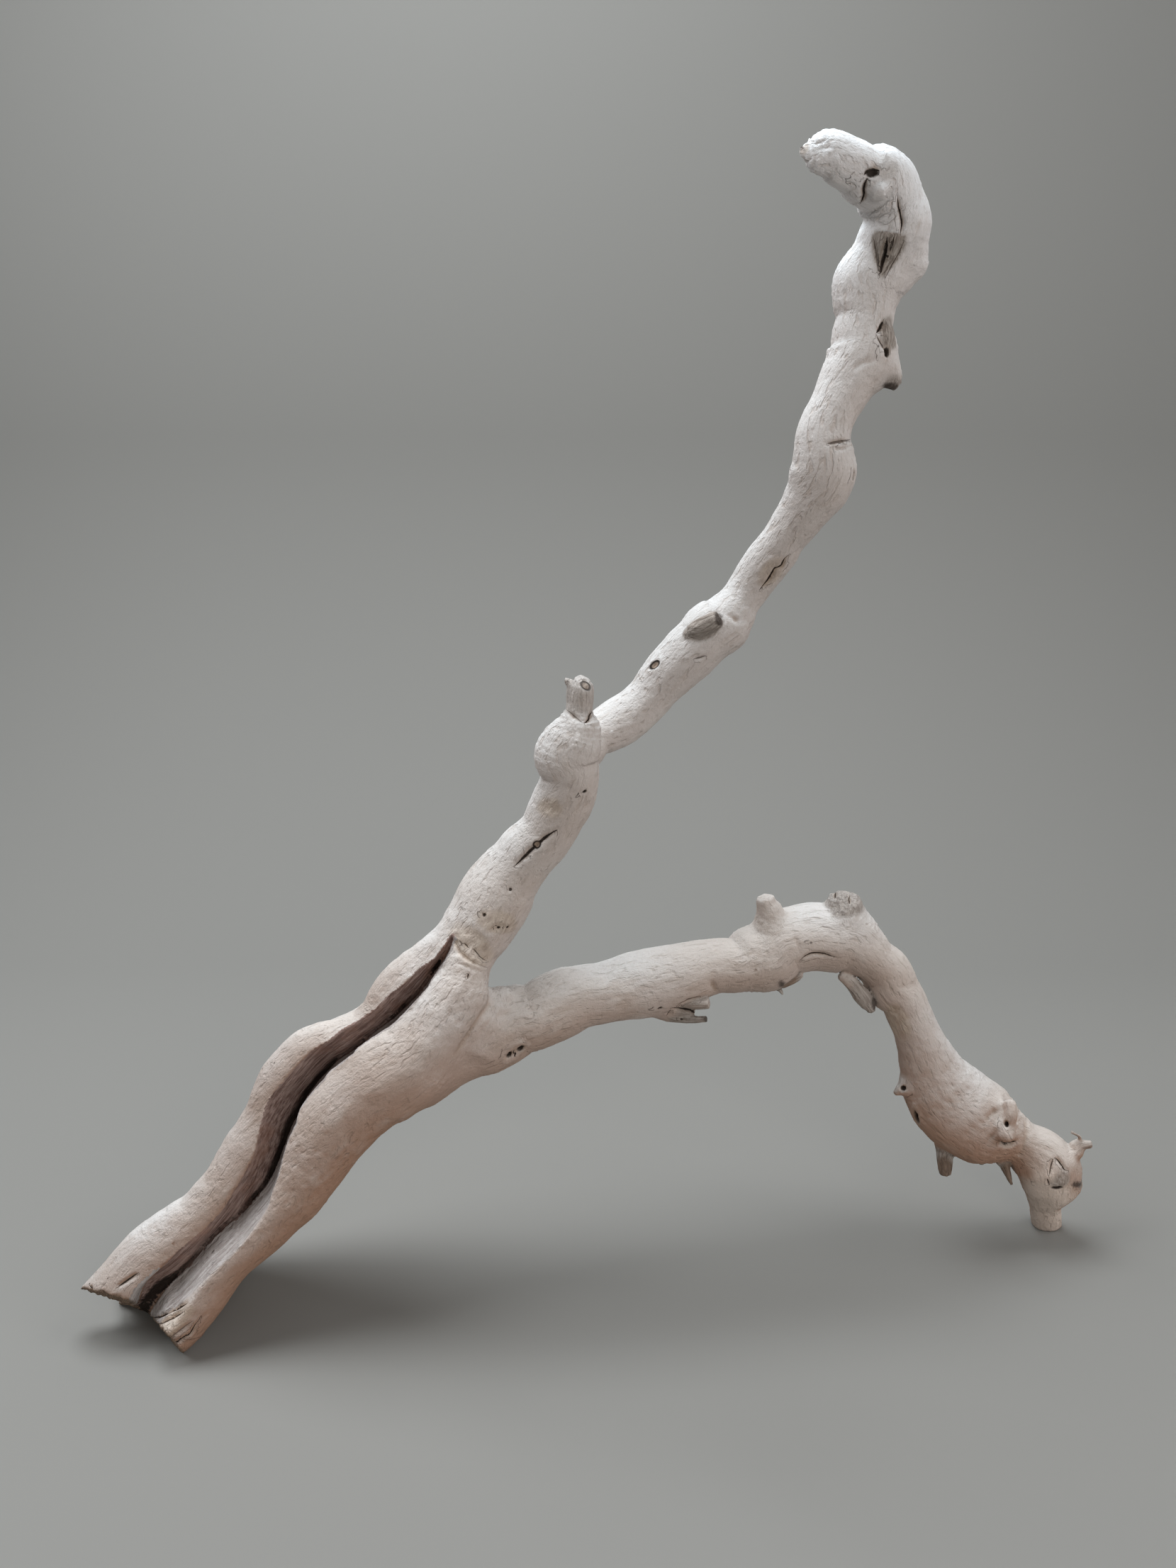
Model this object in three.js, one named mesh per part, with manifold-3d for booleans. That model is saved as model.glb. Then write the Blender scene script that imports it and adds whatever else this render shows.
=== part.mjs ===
// Grapevine driftwood: one gnarled, sandblasted length of old vine that forks into an upright branch and an arching one.
// Millimetres, +Z up, +X to the right of the photographed view, +Y away from it. The origin is the middle of the bounding box, at the floor.
import * as THREE from 'three';
import { mergeVertices } from 'three/addons/utils/BufferGeometryUtils.js';
import Module from 'manifold-3d';

// ---- driving dimensions ----
const ROUND_TRUNK = 16; // points round a trunk lobe
const ROUND_BRANCH = 12; // points round a branch
const ROUND_STUB = 8; // points round a stub
const STEP_TRUNK = 12; // distance between rings along the trunk
const STEP_BRANCH = 9; // distance between rings along a branch
const STEP_STUB = 7; // distance between rings along a stub
const FRONT = new THREE.Vector3(0, -0.957, 0.29); // the way the photographed side faces
const FLOOR_Z = 0; // worn flat where it rests
const WOOD_COLOUR = 0xcdbaa6; // bare, sandblasted wood
const WOOD_ROUGHNESS = 0.9;

// the broken lower end of the trunk: a point on each of its two faces, and the way that face looks
const LEFT_END_POINT = new THREE.Vector3(-253.48, -49.76, 29.73);
const LEFT_END_NORMAL = new THREE.Vector3(-0.2486, -0.6979, -0.6717);
const FRONT_END_POINT = new THREE.Vector3(-228.86, -52.56, 12.65);
const FRONT_END_NORMAL = new THREE.Vector3(-0.6571, -0.6205, -0.428);

// Stations along each limb: x, y, z of the centre, half the width across the view, half the depth along it.

// the thick lobe in front of the long split
const TRUNK_FRONT = [
  [-252.33, -54.21, -12.96, 14.18, 13.2],
  [-241.92, -53.32, -2.7, 14.51, 13.35],
  [-231.65, -52, 7.64, 14.73, 13.63],
  [-221.06, -50.07, 17.56, 15.42, 14.02],
  [-212.18, -47.25, 28.8, 15.79, 14.22],
  [-203.9, -44.11, 40.46, 15.84, 13.99],
  [-193.49, -41.37, 50.4, 14.7, 13.41],
  [-181.98, -38.98, 59.15, 14.41, 13.06],
  [-171.48, -36.46, 69.03, 14.72, 13.46],
  [-161.89, -33.84, 79.75, 16.27, 14.62],
  [-154.51, -30.84, 92.01, 18.28, 16.18],
  [-147.27, -28.03, 104.42, 19.94, 17.73],
  [-138.92, -25.41, 116.14, 21.6, 19.01],
  [-128.91, -22.82, 126.48, 22.62, 20.06],
  [-117.87, -20.3, 135.88, 25.49, 20.76],
  [-105.73, -18.62, 143.68, 24.37, 20.48],
  [-95.93, -16.72, 153.94, 20.51, 18.94],
  [-87.6, -14.61, 165.68, 18.66, 16.78],
  [-79.95, -12.3, 177.93, 16.53, 14.36],
  [-75.73, -9.2, 191.26, 12.06, 11.3],
  [-74.34, -5.47, 205.12, 8.65, 7.6],
];
// the thinner lobe left of the split
const TRUNK_LEFT = [
  [-280.78, -44.73, 2.42, 12.22, 11.4],
  [-273.7, -43.7, 9.92, 12.39, 11.4],
  [-266.5, -42.6, 17.29, 12.45, 11.41],
  [-259.4, -41.26, 24.71, 12.41, 11.44],
  [-252.3, -39.63, 32.09, 12.45, 11.5],
  [-245.53, -37.6, 39.67, 12.71, 11.58],
  [-238.68, -35.31, 47.1, 12.68, 11.63],
  [-230.71, -33.25, 53.36, 12, 11.59],
  [-222.36, -31.39, 59.19, 11.41, 11.47],
  [-214.1, -29.69, 65.25, 10.55, 11.37],
  [-207.03, -27.92, 72.64, 10.55, 11.41],
  [-200.56, -26.11, 80.55, 10.21, 11.57],
  [-195.42, -24.06, 89.34, 10.3, 11.72],
  [-190.47, -22.05, 98.22, 10.11, 11.69],
  [-185.22, -20.4, 107.02, 9.07, 10.93],
  [-180.48, -19.11, 116.18, 8.21, 10.25],
  [-176.55, -17.93, 125.69, 8.3, 10.27],
  [-172.08, -16.75, 134.86, 8.63, 10.16],
  [-165.76, -15.59, 142.94, 8.37, 9.79],
  [-158.27, -14.4, 149.96, 8.29, 9.36],
  [-149.16, -13.4, 154.68, 7.26, 7.95],
  [-139.17, -12.61, 157.19, 5.33, 5.79],
  [-129.94, -11.49, 161.1, 4.7, 5.14],
  [-123.01, -9.86, 168.37, 5.77, 6.58],
  [-117.46, -8.04, 176.91, 7, 8.1],
  [-110.51, -6.37, 184.34, 7.63, 8.55],
  [-102.64, -4.93, 190.92, 7.25, 8.31],
  [-94.69, -3.57, 197.43, 6.52, 7.63],
  [-86.93, -2.16, 204.18, 5.87, 6.78],
  [-80.77, -0.49, 212.38, 5.37, 5.9],
];
// the back of the trunk
const TRUNK_BACK = [
  [-251.91, -1.58, 7.5, 21.3, 20.7],
  [-234.81, -0.58, 21, 22.3, 22.1],
  [-206.11, 1.92, 41.9, 24, 23.6],
  [-184.11, 6.32, 72.7, 25.7, 25.3],
  [-165.61, 7.82, 98.1, 27.6, 27.2],
  [-147.41, 9.42, 121.3, 27.8, 27.8],
  [-116.61, 7.92, 135, 25.9, 26.1],
  [-99.81, 9.92, 165.6, 22.9, 23.4],
  [-82.91, 7.82, 188.1, 16, 17.4],
  [-68.91, 9.32, 207.6, 13.9, 14.6],
  [-60.31, 11.12, 228.3, 12, 12.2],
  [-54.41, 12.52, 239.5, 8.7, 8.7],
];
// the heart of the trunk, which joins the lobes
const TRUNK_CORE = [
  [-260.51, -27.28, -14.5, 18.6, 18.7],
  [-242.31, -26.18, -9, 19.2, 19.8],
  [-236.41, -21.98, 20.2, 21, 21],
  [-218.21, -19.48, 37.7, 21, 21],
  [-202.61, -16.98, 54.9, 20.6, 20.7],
  [-187.11, -14.48, 75.2, 21.6, 21.6],
  [-171.21, -12.78, 96.3, 23.3, 23.5],
  [-156.91, -10.98, 111.8, 25.8, 25.8],
  [-133.71, -9.38, 135.1, 25.9, 26.5],
  [-108.91, -8.18, 152.8, 23.3, 24],
  [-93.71, -4.88, 174.1, 21.1, 21.1],
  [-80.41, -1.98, 193.2, 14.8, 15.4],
  [-70.21, 0.52, 207.6, 13, 13],
  [-62.31, 4.52, 221.5, 10.2, 10.2],
];
// the arching branch, from inside the fork to the knot at its end
const LOWER = [
  [-100.74, -5.93, 129.11, 16.38, 14.4],
  [-92.49, -4.21, 133.52, 15.8, 14.29],
  [-84.11, -2.5, 137.66, 15.09, 14.4],
  [-75.39, -0.71, 141, 15.39, 14.84],
  [-66.7, 1.43, 144.25, 17.31, 15.55],
  [-58.78, 4, 148.85, 18.56, 16.28],
  [-51.01, 6.51, 153.79, 19.17, 16.82],
  [-41.68, 8.11, 155.52, 17.58, 17.03],
  [-33.12, 10.13, 159.18, 18.4, 16.94],
  [-24.43, 12.2, 162.47, 18.26, 16.66],
  [-15.4, 14.36, 164.46, 16.6, 16.44],
  [-6.19, 16.59, 165.16, 16.35, 16.49],
  [2.9, 19.04, 166.47, 16.82, 16.88],
  [12, 21.34, 167.84, 18.03, 17.41],
  [21.41, 23.02, 167.49, 19.89, 17.71],
  [30.92, 24.58, 167.68, 20.57, 17.51],
  [40.42, 26.26, 169.11, 20.56, 16.92],
  [48.3, 29.02, 174.3, 15.23, 16.36],
  [57.76, 31.08, 174.8, 14.72, 16.27],
  [67.11, 33.09, 174.25, 14.97, 16.84],
  [75.95, 35.46, 176.36, 18.47, 17.85],
  [84.72, 37.43, 178.5, 19.67, 18.78],
  [92.14, 40.03, 183.9, 18.13, 19.14],
  [101.33, 41.97, 185.83, 18.65, 19],
  [110.61, 43.7, 187.02, 19.07, 18.64],
  [119.93, 44.49, 185.59, 18.58, 18.16],
  [129.65, 45.34, 184.47, 19.62, 17.46],
  [137.77, 45.4, 178.88, 15.8, 16.48],
  [144.84, 45.38, 172.49, 13.29, 15.34],
  [151.92, 45.05, 166.01, 14.15, 14.31],
  [156.28, 43.79, 157.53, 14.63, 13.49],
  [162.24, 42.61, 150.14, 12.65, 12.87],
  [166.42, 41.27, 141.69, 12.56, 12.48],
  [170.37, 40.36, 133.08, 12.68, 12.42],
  [173.59, 40.15, 124.16, 13.35, 12.77],
  [179.12, 40.82, 116.28, 16.07, 13.62],
  [184.85, 41.63, 108.19, 15.92, 14.96],
  [185, 41.51, 98.59, 22.13, 16.27],
  [189.3, 41.85, 89.73, 22.99, 17.74],
  [196.47, 42.2, 82.87, 23.45, 18.71],
  [205.21, 42.86, 78.91, 24.48, 18.66],
  [212.83, 42.95, 73.08, 23.97, 17.42],
  [222, 43.7, 70.58, 19.32, 15.23],
  [230.67, 43.94, 66.61, 13.93, 12.94],
  [238.55, 43.41, 61.17, 11.81, 11.8],
  [247.32, 43.16, 57.07, 11.76, 11.24],
  [253.3, 42.27, 49.48, 11.78, 10.38],
  [258.88, 41.62, 41.75, 13.2, 8.86],
  [263.79, 41.02, 33.63, 8.8, 6.72],
];
// the short stub it stands on
const FOOT = [
  [249.09, 42.52, 48.8, 15, 14],
  [252.29, 44.02, 36.8, 13.2, 12.3],
  [253.79, 46.52, 26.9, 10.6, 9.9],
  [256.19, 49.52, 17.5, 8.9, 8.3],
  [258.69, 52.52, 8.9, 8.9, 8.3],
  [260.79, 55.52, 0.2, 8.6, 8],
  [263.39, 59.02, -10.8, 8.3, 7.7],
];
// first length of the upright branch
const UPPER_A = [
  [-75.42, -1.49, 180.38, 6.12, 6.1],
  [-77, 0.79, 188.61, 6.32, 8.16],
  [-73.68, 2.91, 196.23, 10.64, 10.61],
  [-70.05, 4.79, 203.55, 15.18, 13.28],
  [-66.69, 6.37, 211.07, 17.41, 15.38],
  [-62.68, 7.58, 218.33, 18.62, 16.46],
  [-58.38, 8.61, 225.46, 18.24, 16.59],
  [-53.85, 9.33, 232.47, 17.17, 16.14],
  [-48.66, 9.36, 239.05, 15.72, 15.48],
  [-43.89, 8.91, 245.92, 15.48, 14.85],
  [-38.01, 7.91, 251.85, 14.85, 14.38],
  [-33.07, 6.82, 258.61, 14.36, 14.17],
  [-29.56, 5.6, 266.18, 14.94, 14.17],
  [-26.03, 4.05, 273.64, 15.52, 14.18],
  [-23.19, 2.34, 281.37, 15.26, 14.07],
  [-21.64, 0.62, 289.54, 14.5, 13.89],
  [-23.38, -0.8, 297.76, 16.51, 13.42],
  [-20.7, -1.67, 305.68, 15.01, 12.04],
  [-18.17, -2.15, 313.7, 12.04, 9.33],
  [-17.55, -2.48, 322.11, 6.59, 5.6],
];
// second length, up to the neck
const UPPER_B = [
  [-25.82, 3.56, 284.56, 9.63, 9.5],
  [-21.73, 8.52, 288.43, 9.71, 9.67],
  [-17.99, 13.24, 292.88, 9.83, 9.93],
  [-14.39, 17.66, 297.73, 10.61, 10.34],
  [-10.56, 21.88, 302.58, 10.88, 10.88],
  [-4.68, 25.37, 305.69, 11.96, 11.45],
  [1.55, 28.07, 308.85, 12.67, 11.9],
  [7.71, 30.04, 312.67, 12.54, 12.14],
  [13.49, 31.46, 317.27, 11.89, 12.29],
  [18.65, 32.26, 322.68, 11.85, 12.53],
  [23.13, 32.39, 328.7, 12.7, 12.97],
  [28.05, 31.9, 334.33, 13.73, 13.55],
  [33.27, 31.2, 339.66, 14.22, 14.1],
  [38.47, 30.62, 345.05, 14.7, 14.51],
  [43.72, 30.38, 350.37, 14.43, 14.68],
  [48.98, 30.79, 355.68, 15.31, 14.51],
  [55.28, 31.64, 359.72, 15.25, 13.89],
  [60.05, 33.16, 365.32, 12.95, 12.93],
  [64.29, 34.17, 371.43, 10.81, 12.02],
  [68.36, 33.78, 377.7, 11.04, 11.53],
  [72.02, 32.1, 384.01, 11.52, 11.44],
  [75.88, 29.78, 389.99, 11.92, 11.51],
  [79.91, 27.39, 395.86, 11.66, 11.57],
  [83.42, 25.24, 402.14, 10.91, 11.69],
  [87.22, 23.09, 408.23, 11.59, 12.05],
  [91.02, 20.76, 414.26, 12.36, 12.71],
  [94.33, 18.2, 420.49, 13.51, 13.52],
  [97.36, 15.5, 426.83, 15.43, 14.15],
  [98.94, 13.37, 433.89, 16.05, 14.26],
  [98.56, 12.49, 441.36, 14.37, 13.8],
  [98.29, 12.99, 448.9, 13.22, 13.18],
  [100.13, 14.2, 456.15, 12.55, 12.86],
  [103.21, 15.5, 462.85, 12.17, 13.02],
  [106.6, 16.84, 469.35, 13.1, 13.62],
  [110.03, 18.24, 475.85, 14.11, 14.39],
  [114.06, 19.56, 482.04, 16.18, 14.96],
  [116.73, 21.01, 488.97, 16.44, 15.14],
  [115.96, 22.51, 496.42, 13.92, 15.09],
  [117.36, 23.65, 503.74, 13.62, 15.11],
  [117.32, 24.14, 511.21, 15.56, 15.25],
  [118.16, 23.83, 518.65, 16.91, 15.2],
  [121.37, 22.81, 525.26, 15.88, 14.79],
  [124.42, 21.48, 531.97, 13.64, 14.27],
  [127.35, 19.79, 538.79, 12.79, 14.15],
  [129.59, 17.96, 545.71, 13, 12.62],
];
// the bent top end
const HEAD = [
  [124.34, 19.73, 538.69, 7.91, 11.38],
  [130.07, 17.74, 544.73, 13.3, 12.99],
  [125.33, 15.52, 552.27, 13.27, 13.2],
  [121.8, 12, 557.54, 15, 13.5],
  [116.79, 8.52, 560.8, 14.08, 13.32],
  [110.35, 4.76, 560.81, 12.9, 12.38],
  [104.97, 1.96, 563.47, 11, 11.17],
  [98.87, -0.62, 565.31, 10.98, 10.17],
  [92.75, -2.84, 567.15, 10.82, 8.75],
  [86.23, -5.3, 566.71, 8.5, 5.88],
  [79.74, -7.42, 567.29, 3.03, 1.66],
];
// broken twigs, spurs and knots that stand out of the limbs
const STUBS = {
  twig_stub: [
    [-16.41, -0.26, 313.08, 5.6, 5.6],
    [-17.09, -0.76, 320.21, 6.5, 6.5],
    [-17.07, -1.36, 327.3, 6.9, 6.9],
    [-16.72, -1.76, 332.22, 6.4, 6.4],
    [-17.06, -1.76, 335.34, 4.6, 4.6],
    [-17.74, -1.76, 337.41, 2.4, 2.4],
  ],
  spur_right: [
    [114.59, 18.52, 486.3, 8.7, 8.7],
    [123.09, 17.52, 483.6, 8.3, 8.3],
    [127.99, 16.42, 480, 6.3, 6.3],
    [130.39, 15.52, 475.7, 4.5, 4.5],
    [129.79, 14.52, 472, 2.6, 2.6],
  ],
  bulge_right: [
    [132.84, 22.74, 526.47, 7.6, 7.6],
    [136.53, 21.74, 531.81, 8.8, 8.8],
    [137.92, 20.74, 536.79, 8, 8],
    [138.06, 19.74, 540.53, 6.2, 6.2],
  ],
  dead_stub_mid: [
    [35.32, 18.74, 355.69, 1.6, 1.6],
    [39.68, 16.74, 358.01, 4.2, 4.2],
    [44.64, 14.24, 360.36, 5.2, 5.2],
    [48.56, 12.24, 362.99, 5, 5],
    [50.84, 11.24, 364.47, 4.5, 4.5],
  ],
  dead_stub_top: [
    [122.19, 16.74, 519.9, 1.6, 1.6],
    [122.48, 13.74, 524.85, 3.6, 3.6],
    [122.72, 10.74, 530.32, 5.4, 5.4],
    [123.28, 8.84, 534.73, 6.6, 6.6],
    [123.61, 8.24, 537.28, 6.6, 6.6],
  ],
  head_curl: [
    [111.29, 1.74, 558.87, 3, 3],
    [112.27, -1.76, 554.59, 3.8, 3.8],
    [114.58, -2.96, 552.88, 4.4, 4.4],
    [117.12, -2.26, 555.04, 3.2, 3.2],
    [118.7, -0.26, 557.81, 2.4, 2.4],
  ],
  stub_white: [
    [86.45, 36.74, 196.5, 10.5, 10.5],
    [84.94, 36.24, 204.41, 7.2, 7.2],
    [83.12, 35.74, 210.24, 5.3, 5.3],
    [82.61, 35.44, 212.76, 4.4, 4.4],
    [82.53, 35.24, 214.04, 2.8, 2.8],
  ],
  stump: [
    [126.06, 44.74, 192.72, 15, 15],
    [125.18, 44.04, 199.57, 12.6, 12.6],
    [124.41, 43.64, 205.45, 9.8, 9.8],
    [122.94, 43.24, 210.08, 7, 7],
    [122, 43.04, 212.59, 4.4, 4.4],
  ],
  stub_c: [
    [192.46, 41.24, 62.23, 7, 6],
    [191.71, 39.74, 54.99, 5, 4.4],
    [191.86, 38.74, 48.8, 4.4, 3.6],
    [192.41, 38.04, 43.77, 3.4, 2.6],
  ],
  stub_d: [
    [223.83, 40.74, 54.39, 4.8, 4.8],
    [226.69, 39.24, 48.04, 2.9, 2.9],
    [228.75, 38.04, 42.86, 2, 2],
    [230.51, 37.24, 37.89, 0.9, 0.9],
  ],
  twig_a: [
    [256.89, 40.52, 52.7, 5.7, 5.7],
    [265.29, 39.42, 57.2, 4.8, 4.8],
    [269.39, 39.12, 61.9, 3.2, 3.2],
    [274.19, 38.42, 62.9, 2.4, 2.4],
  ],
  twig_b: [
    [264.59, 39.52, 61.5, 2.8, 2.8],
    [267.69, 38.62, 66.6, 1.2, 1.2],
    [261.79, 37.52, 71.3, 1.2, 1.2],
  ],
  flake: [
    [126.01, 38.24, 166.61, 3, 2.6],
    [132.59, 36.74, 161.4, 4.2, 3],
    [137.77, 35.74, 155.13, 5, 3],
    [141.72, 34.74, 150.11, 4.2, 2.6],
    [143.76, 34.24, 146.55, 2.2, 1.8],
  ],
  stub_split: [
    [23.57, 25.74, 158.28, 10, 10],
    [29.88, 21.74, 155.53, 8.4, 8],
    [35.45, 19.24, 154.19, 6, 6],
    [38.85, 18.74, 153.59, 3.6, 4.2],
  ],
  nub_left: [
    [174.24, 40.24, 100.17, 8.5, 8.5],
    [167.22, 37.74, 99.3, 5.2, 5.2],
    [163.01, 36.64, 98.13, 3.8, 3.8],
    [159.84, 36.24, 96.16, 1.8, 1.8],
  ],
  nub_fork: [
    [-57.51, 1.02, 167.6, 6, 6],
    [-56.61, 0.02, 172, 4.2, 4.2],
  ],
  stub_dark: [
    [102.17, 34.24, 169.53, 3.8, 3.8],
    [96.62, 30.74, 167.69, 4, 4],
    [91.36, 28.74, 165.65, 3.4, 3.4],
  ],
  shoulder: [
    [-66.01, 8.22, 198, 7.1, 7.3],
    [-58.41, 12.12, 207.4, 8.4, 8.8],
    [-51.41, 12.82, 217.8, 8.4, 8.9],
  ],
  end_stub: [
    [252.24, 38.24, 54.09, 5.6, 5.6],
    [253.23, 34.74, 50.8, 5.8, 5.8],
    [253.74, 32.04, 47.05, 5.6, 5.6],
    [254.21, 30.24, 43.22, 4.8, 4.8],
  ],
  crotch: [
    [-74.11, -2.98, 149.6, 13, 13],
    [-66.61, -1.98, 161, 11.5, 11.5],
    [-61.71, -0.98, 168.5, 7, 7],
  ],
  twig_fibre: [
    [-21.18, -2.76, 327.53, 2.4, 2.4],
    [-21.51, -2.76, 333.07, 2.6, 2.6],
    [-22.87, -2.76, 335.14, 2, 2],
    [-24.25, -2.76, 334.45, 1.2, 1.2],
  ],
  curl_a: [
    [116.38, -2.76, 554.92, 1.8, 1.8],
    [116.62, -3.36, 559.05, 2.2, 2.2],
    [117, -3.36, 563.03, 2.3, 2.3],
    [116.33, -2.96, 565.67, 1.5, 1.5],
  ],
  curl_b: [
    [118.23, -2.26, 557.33, 1.8, 1.8],
    [119.49, -2.76, 560.34, 1.9, 1.9],
    [120.79, -2.96, 563.69, 1, 1],
  ],
  stub_brown: [
    [124.21, 16.74, 502.02, 2.6, 2.6],
    [124.93, 13.24, 497.82, 3.7, 3.7],
    [125.49, 11.84, 493.61, 3.8, 3.8],
    [125.74, 12.04, 490.22, 3.2, 3.2],
  ],
  chip: [
    [88.74, 33.24, 161.65, 1.4, 1.4],
    [91.35, 32.24, 160.42, 1.5, 1.5],
    [93.61, 31.24, 157.94, 1, 1],
  ],
  prong_up: [
    [30.54, 20.74, 157.62, 3.2, 4],
    [38.51, 15.84, 159.4, 3.2, 4],
    [45.49, 13.84, 160.29, 3.3, 4.2],
    [51, 12.64, 161.23, 3.2, 4.2],
  ],
  prong_low: [
    [29.45, 19.74, 150.26, 2.9, 4],
    [37.19, 16.24, 150.63, 2.5, 3.8],
    [44.59, 14.24, 151.15, 2.1, 3.6],
    [50.15, 13.24, 152.02, 1.9, 3.4],
  ],
  nub_low: [
    [211.57, 38.24, 54.99, 2.4, 2.4],
    [212.03, 37.44, 50.95, 1.3, 1.3],
  ],
  nub_end: [
    [262.34, 39.24, 41.66, 4, 4],
    [266.04, 37.74, 39.4, 3, 3],
    [269.38, 36.84, 39.06, 1.9, 1.9],
  ],
  eye_lip: [
    [222.17, 25.74, 94.02, 3, 3],
    [222.35, 23.74, 88.21, 3.4, 3.4],
    [222.08, 23.74, 82.13, 2.8, 2.8],
  ],
  eye_stub: [
    [218.79, 27.24, 79.25, 4.5, 4.5],
    [220.15, 23.74, 76.89, 4.6, 4.6],
    [221.03, 22.24, 74.27, 3.8, 3.8],
  ],
};
// the long split down the trunk: centre of its mouth, half its width, its depth
const SPLIT = [
  [-243.41, -60.48, 24.3, 4.2, 20],
  [-232.71, -59.98, 36, 4.6, 20],
  [-225.41, -58.68, 44.7, 4.6, 20],
  [-218.51, -54.48, 51.7, 3.5, 20],
  [-207.91, -50.38, 60.8, 2.5, 20],
  [-197.61, -46.18, 70, 3.2, 20],
  [-189.01, -43.18, 78.4, 3.5, 20],
  [-180.71, -40.98, 88.9, 4.6, 20],
  [-174.51, -38.78, 101.8, 5.7, 20],
  [-170.01, -36.48, 115, 6.4, 20],
  [-164.31, -33.78, 126.7, 7.1, 19.7],
  [-156.51, -30.98, 139.6, 7.4, 19.4],
  [-146.61, -28.18, 150.1, 6.4, 19],
  [-135.51, -25.68, 157, 5, 18.7],
  [-123.81, -23.68, 164.8, 5.3, 18.4],
  [-111.31, -21.68, 175.4, 5, 18.1],
  [-99.61, -19.58, 185.9, 4.6, 15.9],
  [-89.61, -17.58, 197.1, 2.5, 13],
  [-82.91, -15.48, 206.1, 1.4, 10],
];

const wasm = await Module();
wasm.setup();

// A closed geometry as a solid.
function solid(geometry) {
  const bare = new THREE.BufferGeometry().setAttribute('position', geometry.getAttribute('position'));
  bare.setIndex(geometry.index);
  const g = mergeVertices(bare, 1e-4);
  return new wasm.Manifold(
    new wasm.Mesh({
      numProp: 3,
      vertProperties: new Float32Array(g.attributes.position.array),
      triVerts: new Uint32Array(g.index.array),
    }),
  );
}

// A limb: a capped cylinder bent along the stations, each ring an ellipse square to the limb.
function limb(stations, round, step) {
  const curve = new THREE.CatmullRomCurve3(
    stations.map((s) => new THREE.Vector3(s[0], s[1], s[2])), false, 'centripetal');
  curve.arcLengthDivisions = 40 * stations.length;
  const rings = Math.max(2, Math.round(curve.getLength() / step));
  const frames = [];
  for (let i = 0; i <= rings; i++) {
    const t = curve.getUtoTmapping(i / rings);
    const at = t * (stations.length - 1), k = Math.min(stations.length - 2, Math.floor(at)), f = at - k;
    const mix = (c) => stations[k][c] + (stations[k + 1][c] - stations[k][c]) * f;
    const along = curve.getTangent(t);
    const front = FRONT.clone().addScaledVector(along, -FRONT.dot(along)).normalize();
    const side = new THREE.Vector3().crossVectors(along, front);
    frames.push({ centre: curve.getPoint(t), front, side, w: mix(3), d: mix(4) });
  }
  const g = new THREE.CylinderGeometry(1, 1, rings, round, rings);
  const p = g.getAttribute('position'), v = new THREE.Vector3();
  for (let i = 0; i < p.count; i++) {
    const q = frames[Math.round(p.getY(i) + rings / 2)];
    v.copy(q.centre).addScaledVector(q.side, q.w * p.getX(i)).addScaledVector(q.front, q.d * p.getZ(i));
    p.setXYZ(i, v.x, v.y, v.z);
  }
  return solid(g);
}

// A block on the far side of a plane, to trim with.
function beyond(point, normal) {
  const size = 400;
  const g = new THREE.BoxGeometry(size, size, size);
  g.translate(0, 0, size / 2);
  g.applyQuaternion(new THREE.Quaternion().setFromUnitVectors(new THREE.Vector3(0, 0, 1), normal.clone().normalize()));
  g.translate(point.x, point.y, point.z);
  return solid(g);
}

let wood = limb(TRUNK_FRONT, ROUND_TRUNK, STEP_TRUNK)
  .add(limb(TRUNK_LEFT, ROUND_BRANCH, STEP_TRUNK))
  .add(limb(TRUNK_BACK, ROUND_TRUNK, STEP_TRUNK))
  .add(limb(TRUNK_CORE, ROUND_TRUNK, STEP_TRUNK))
  .subtract(limb(SPLIT, ROUND_STUB, STEP_TRUNK))
  .subtract(beyond(LEFT_END_POINT, LEFT_END_NORMAL).intersect(beyond(FRONT_END_POINT, FRONT_END_NORMAL)));
for (const branch of [LOWER, UPPER_A, UPPER_B, HEAD, FOOT]) wood = wood.add(limb(branch, ROUND_BRANCH, STEP_BRANCH));
for (const stub of Object.values(STUBS)) wood = wood.add(limb(stub, ROUND_STUB, STEP_STUB));
const floor = new THREE.BoxGeometry(900, 600, 100);
floor.translate(0, 0, FLOOR_Z - 50);
wood = wood.subtract(solid(floor));
// one outer skin, without the small closed pockets left between the lobes
wood = wood.decompose().reduce((a, b) => (b.volume() > a.volume() ? b : a));

const m = wood.getMesh();
const geometry = new THREE.BufferGeometry()
  .setAttribute('position', new THREE.BufferAttribute(new Float32Array(m.vertProperties), 3))
  .setIndex(new THREE.BufferAttribute(new Uint32Array(m.triVerts), 1));
geometry.computeVertexNormals();
const mesh = new THREE.Mesh(
  geometry,
  new THREE.MeshStandardMaterial({ color: WOOD_COLOUR, roughness: WOOD_ROUGHNESS, metalness: 0 }),
);
mesh.name = 'driftwood';
const part = new THREE.Group();
part.name = 'grapevine_driftwood';
part.add(mesh);
export default part;
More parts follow.
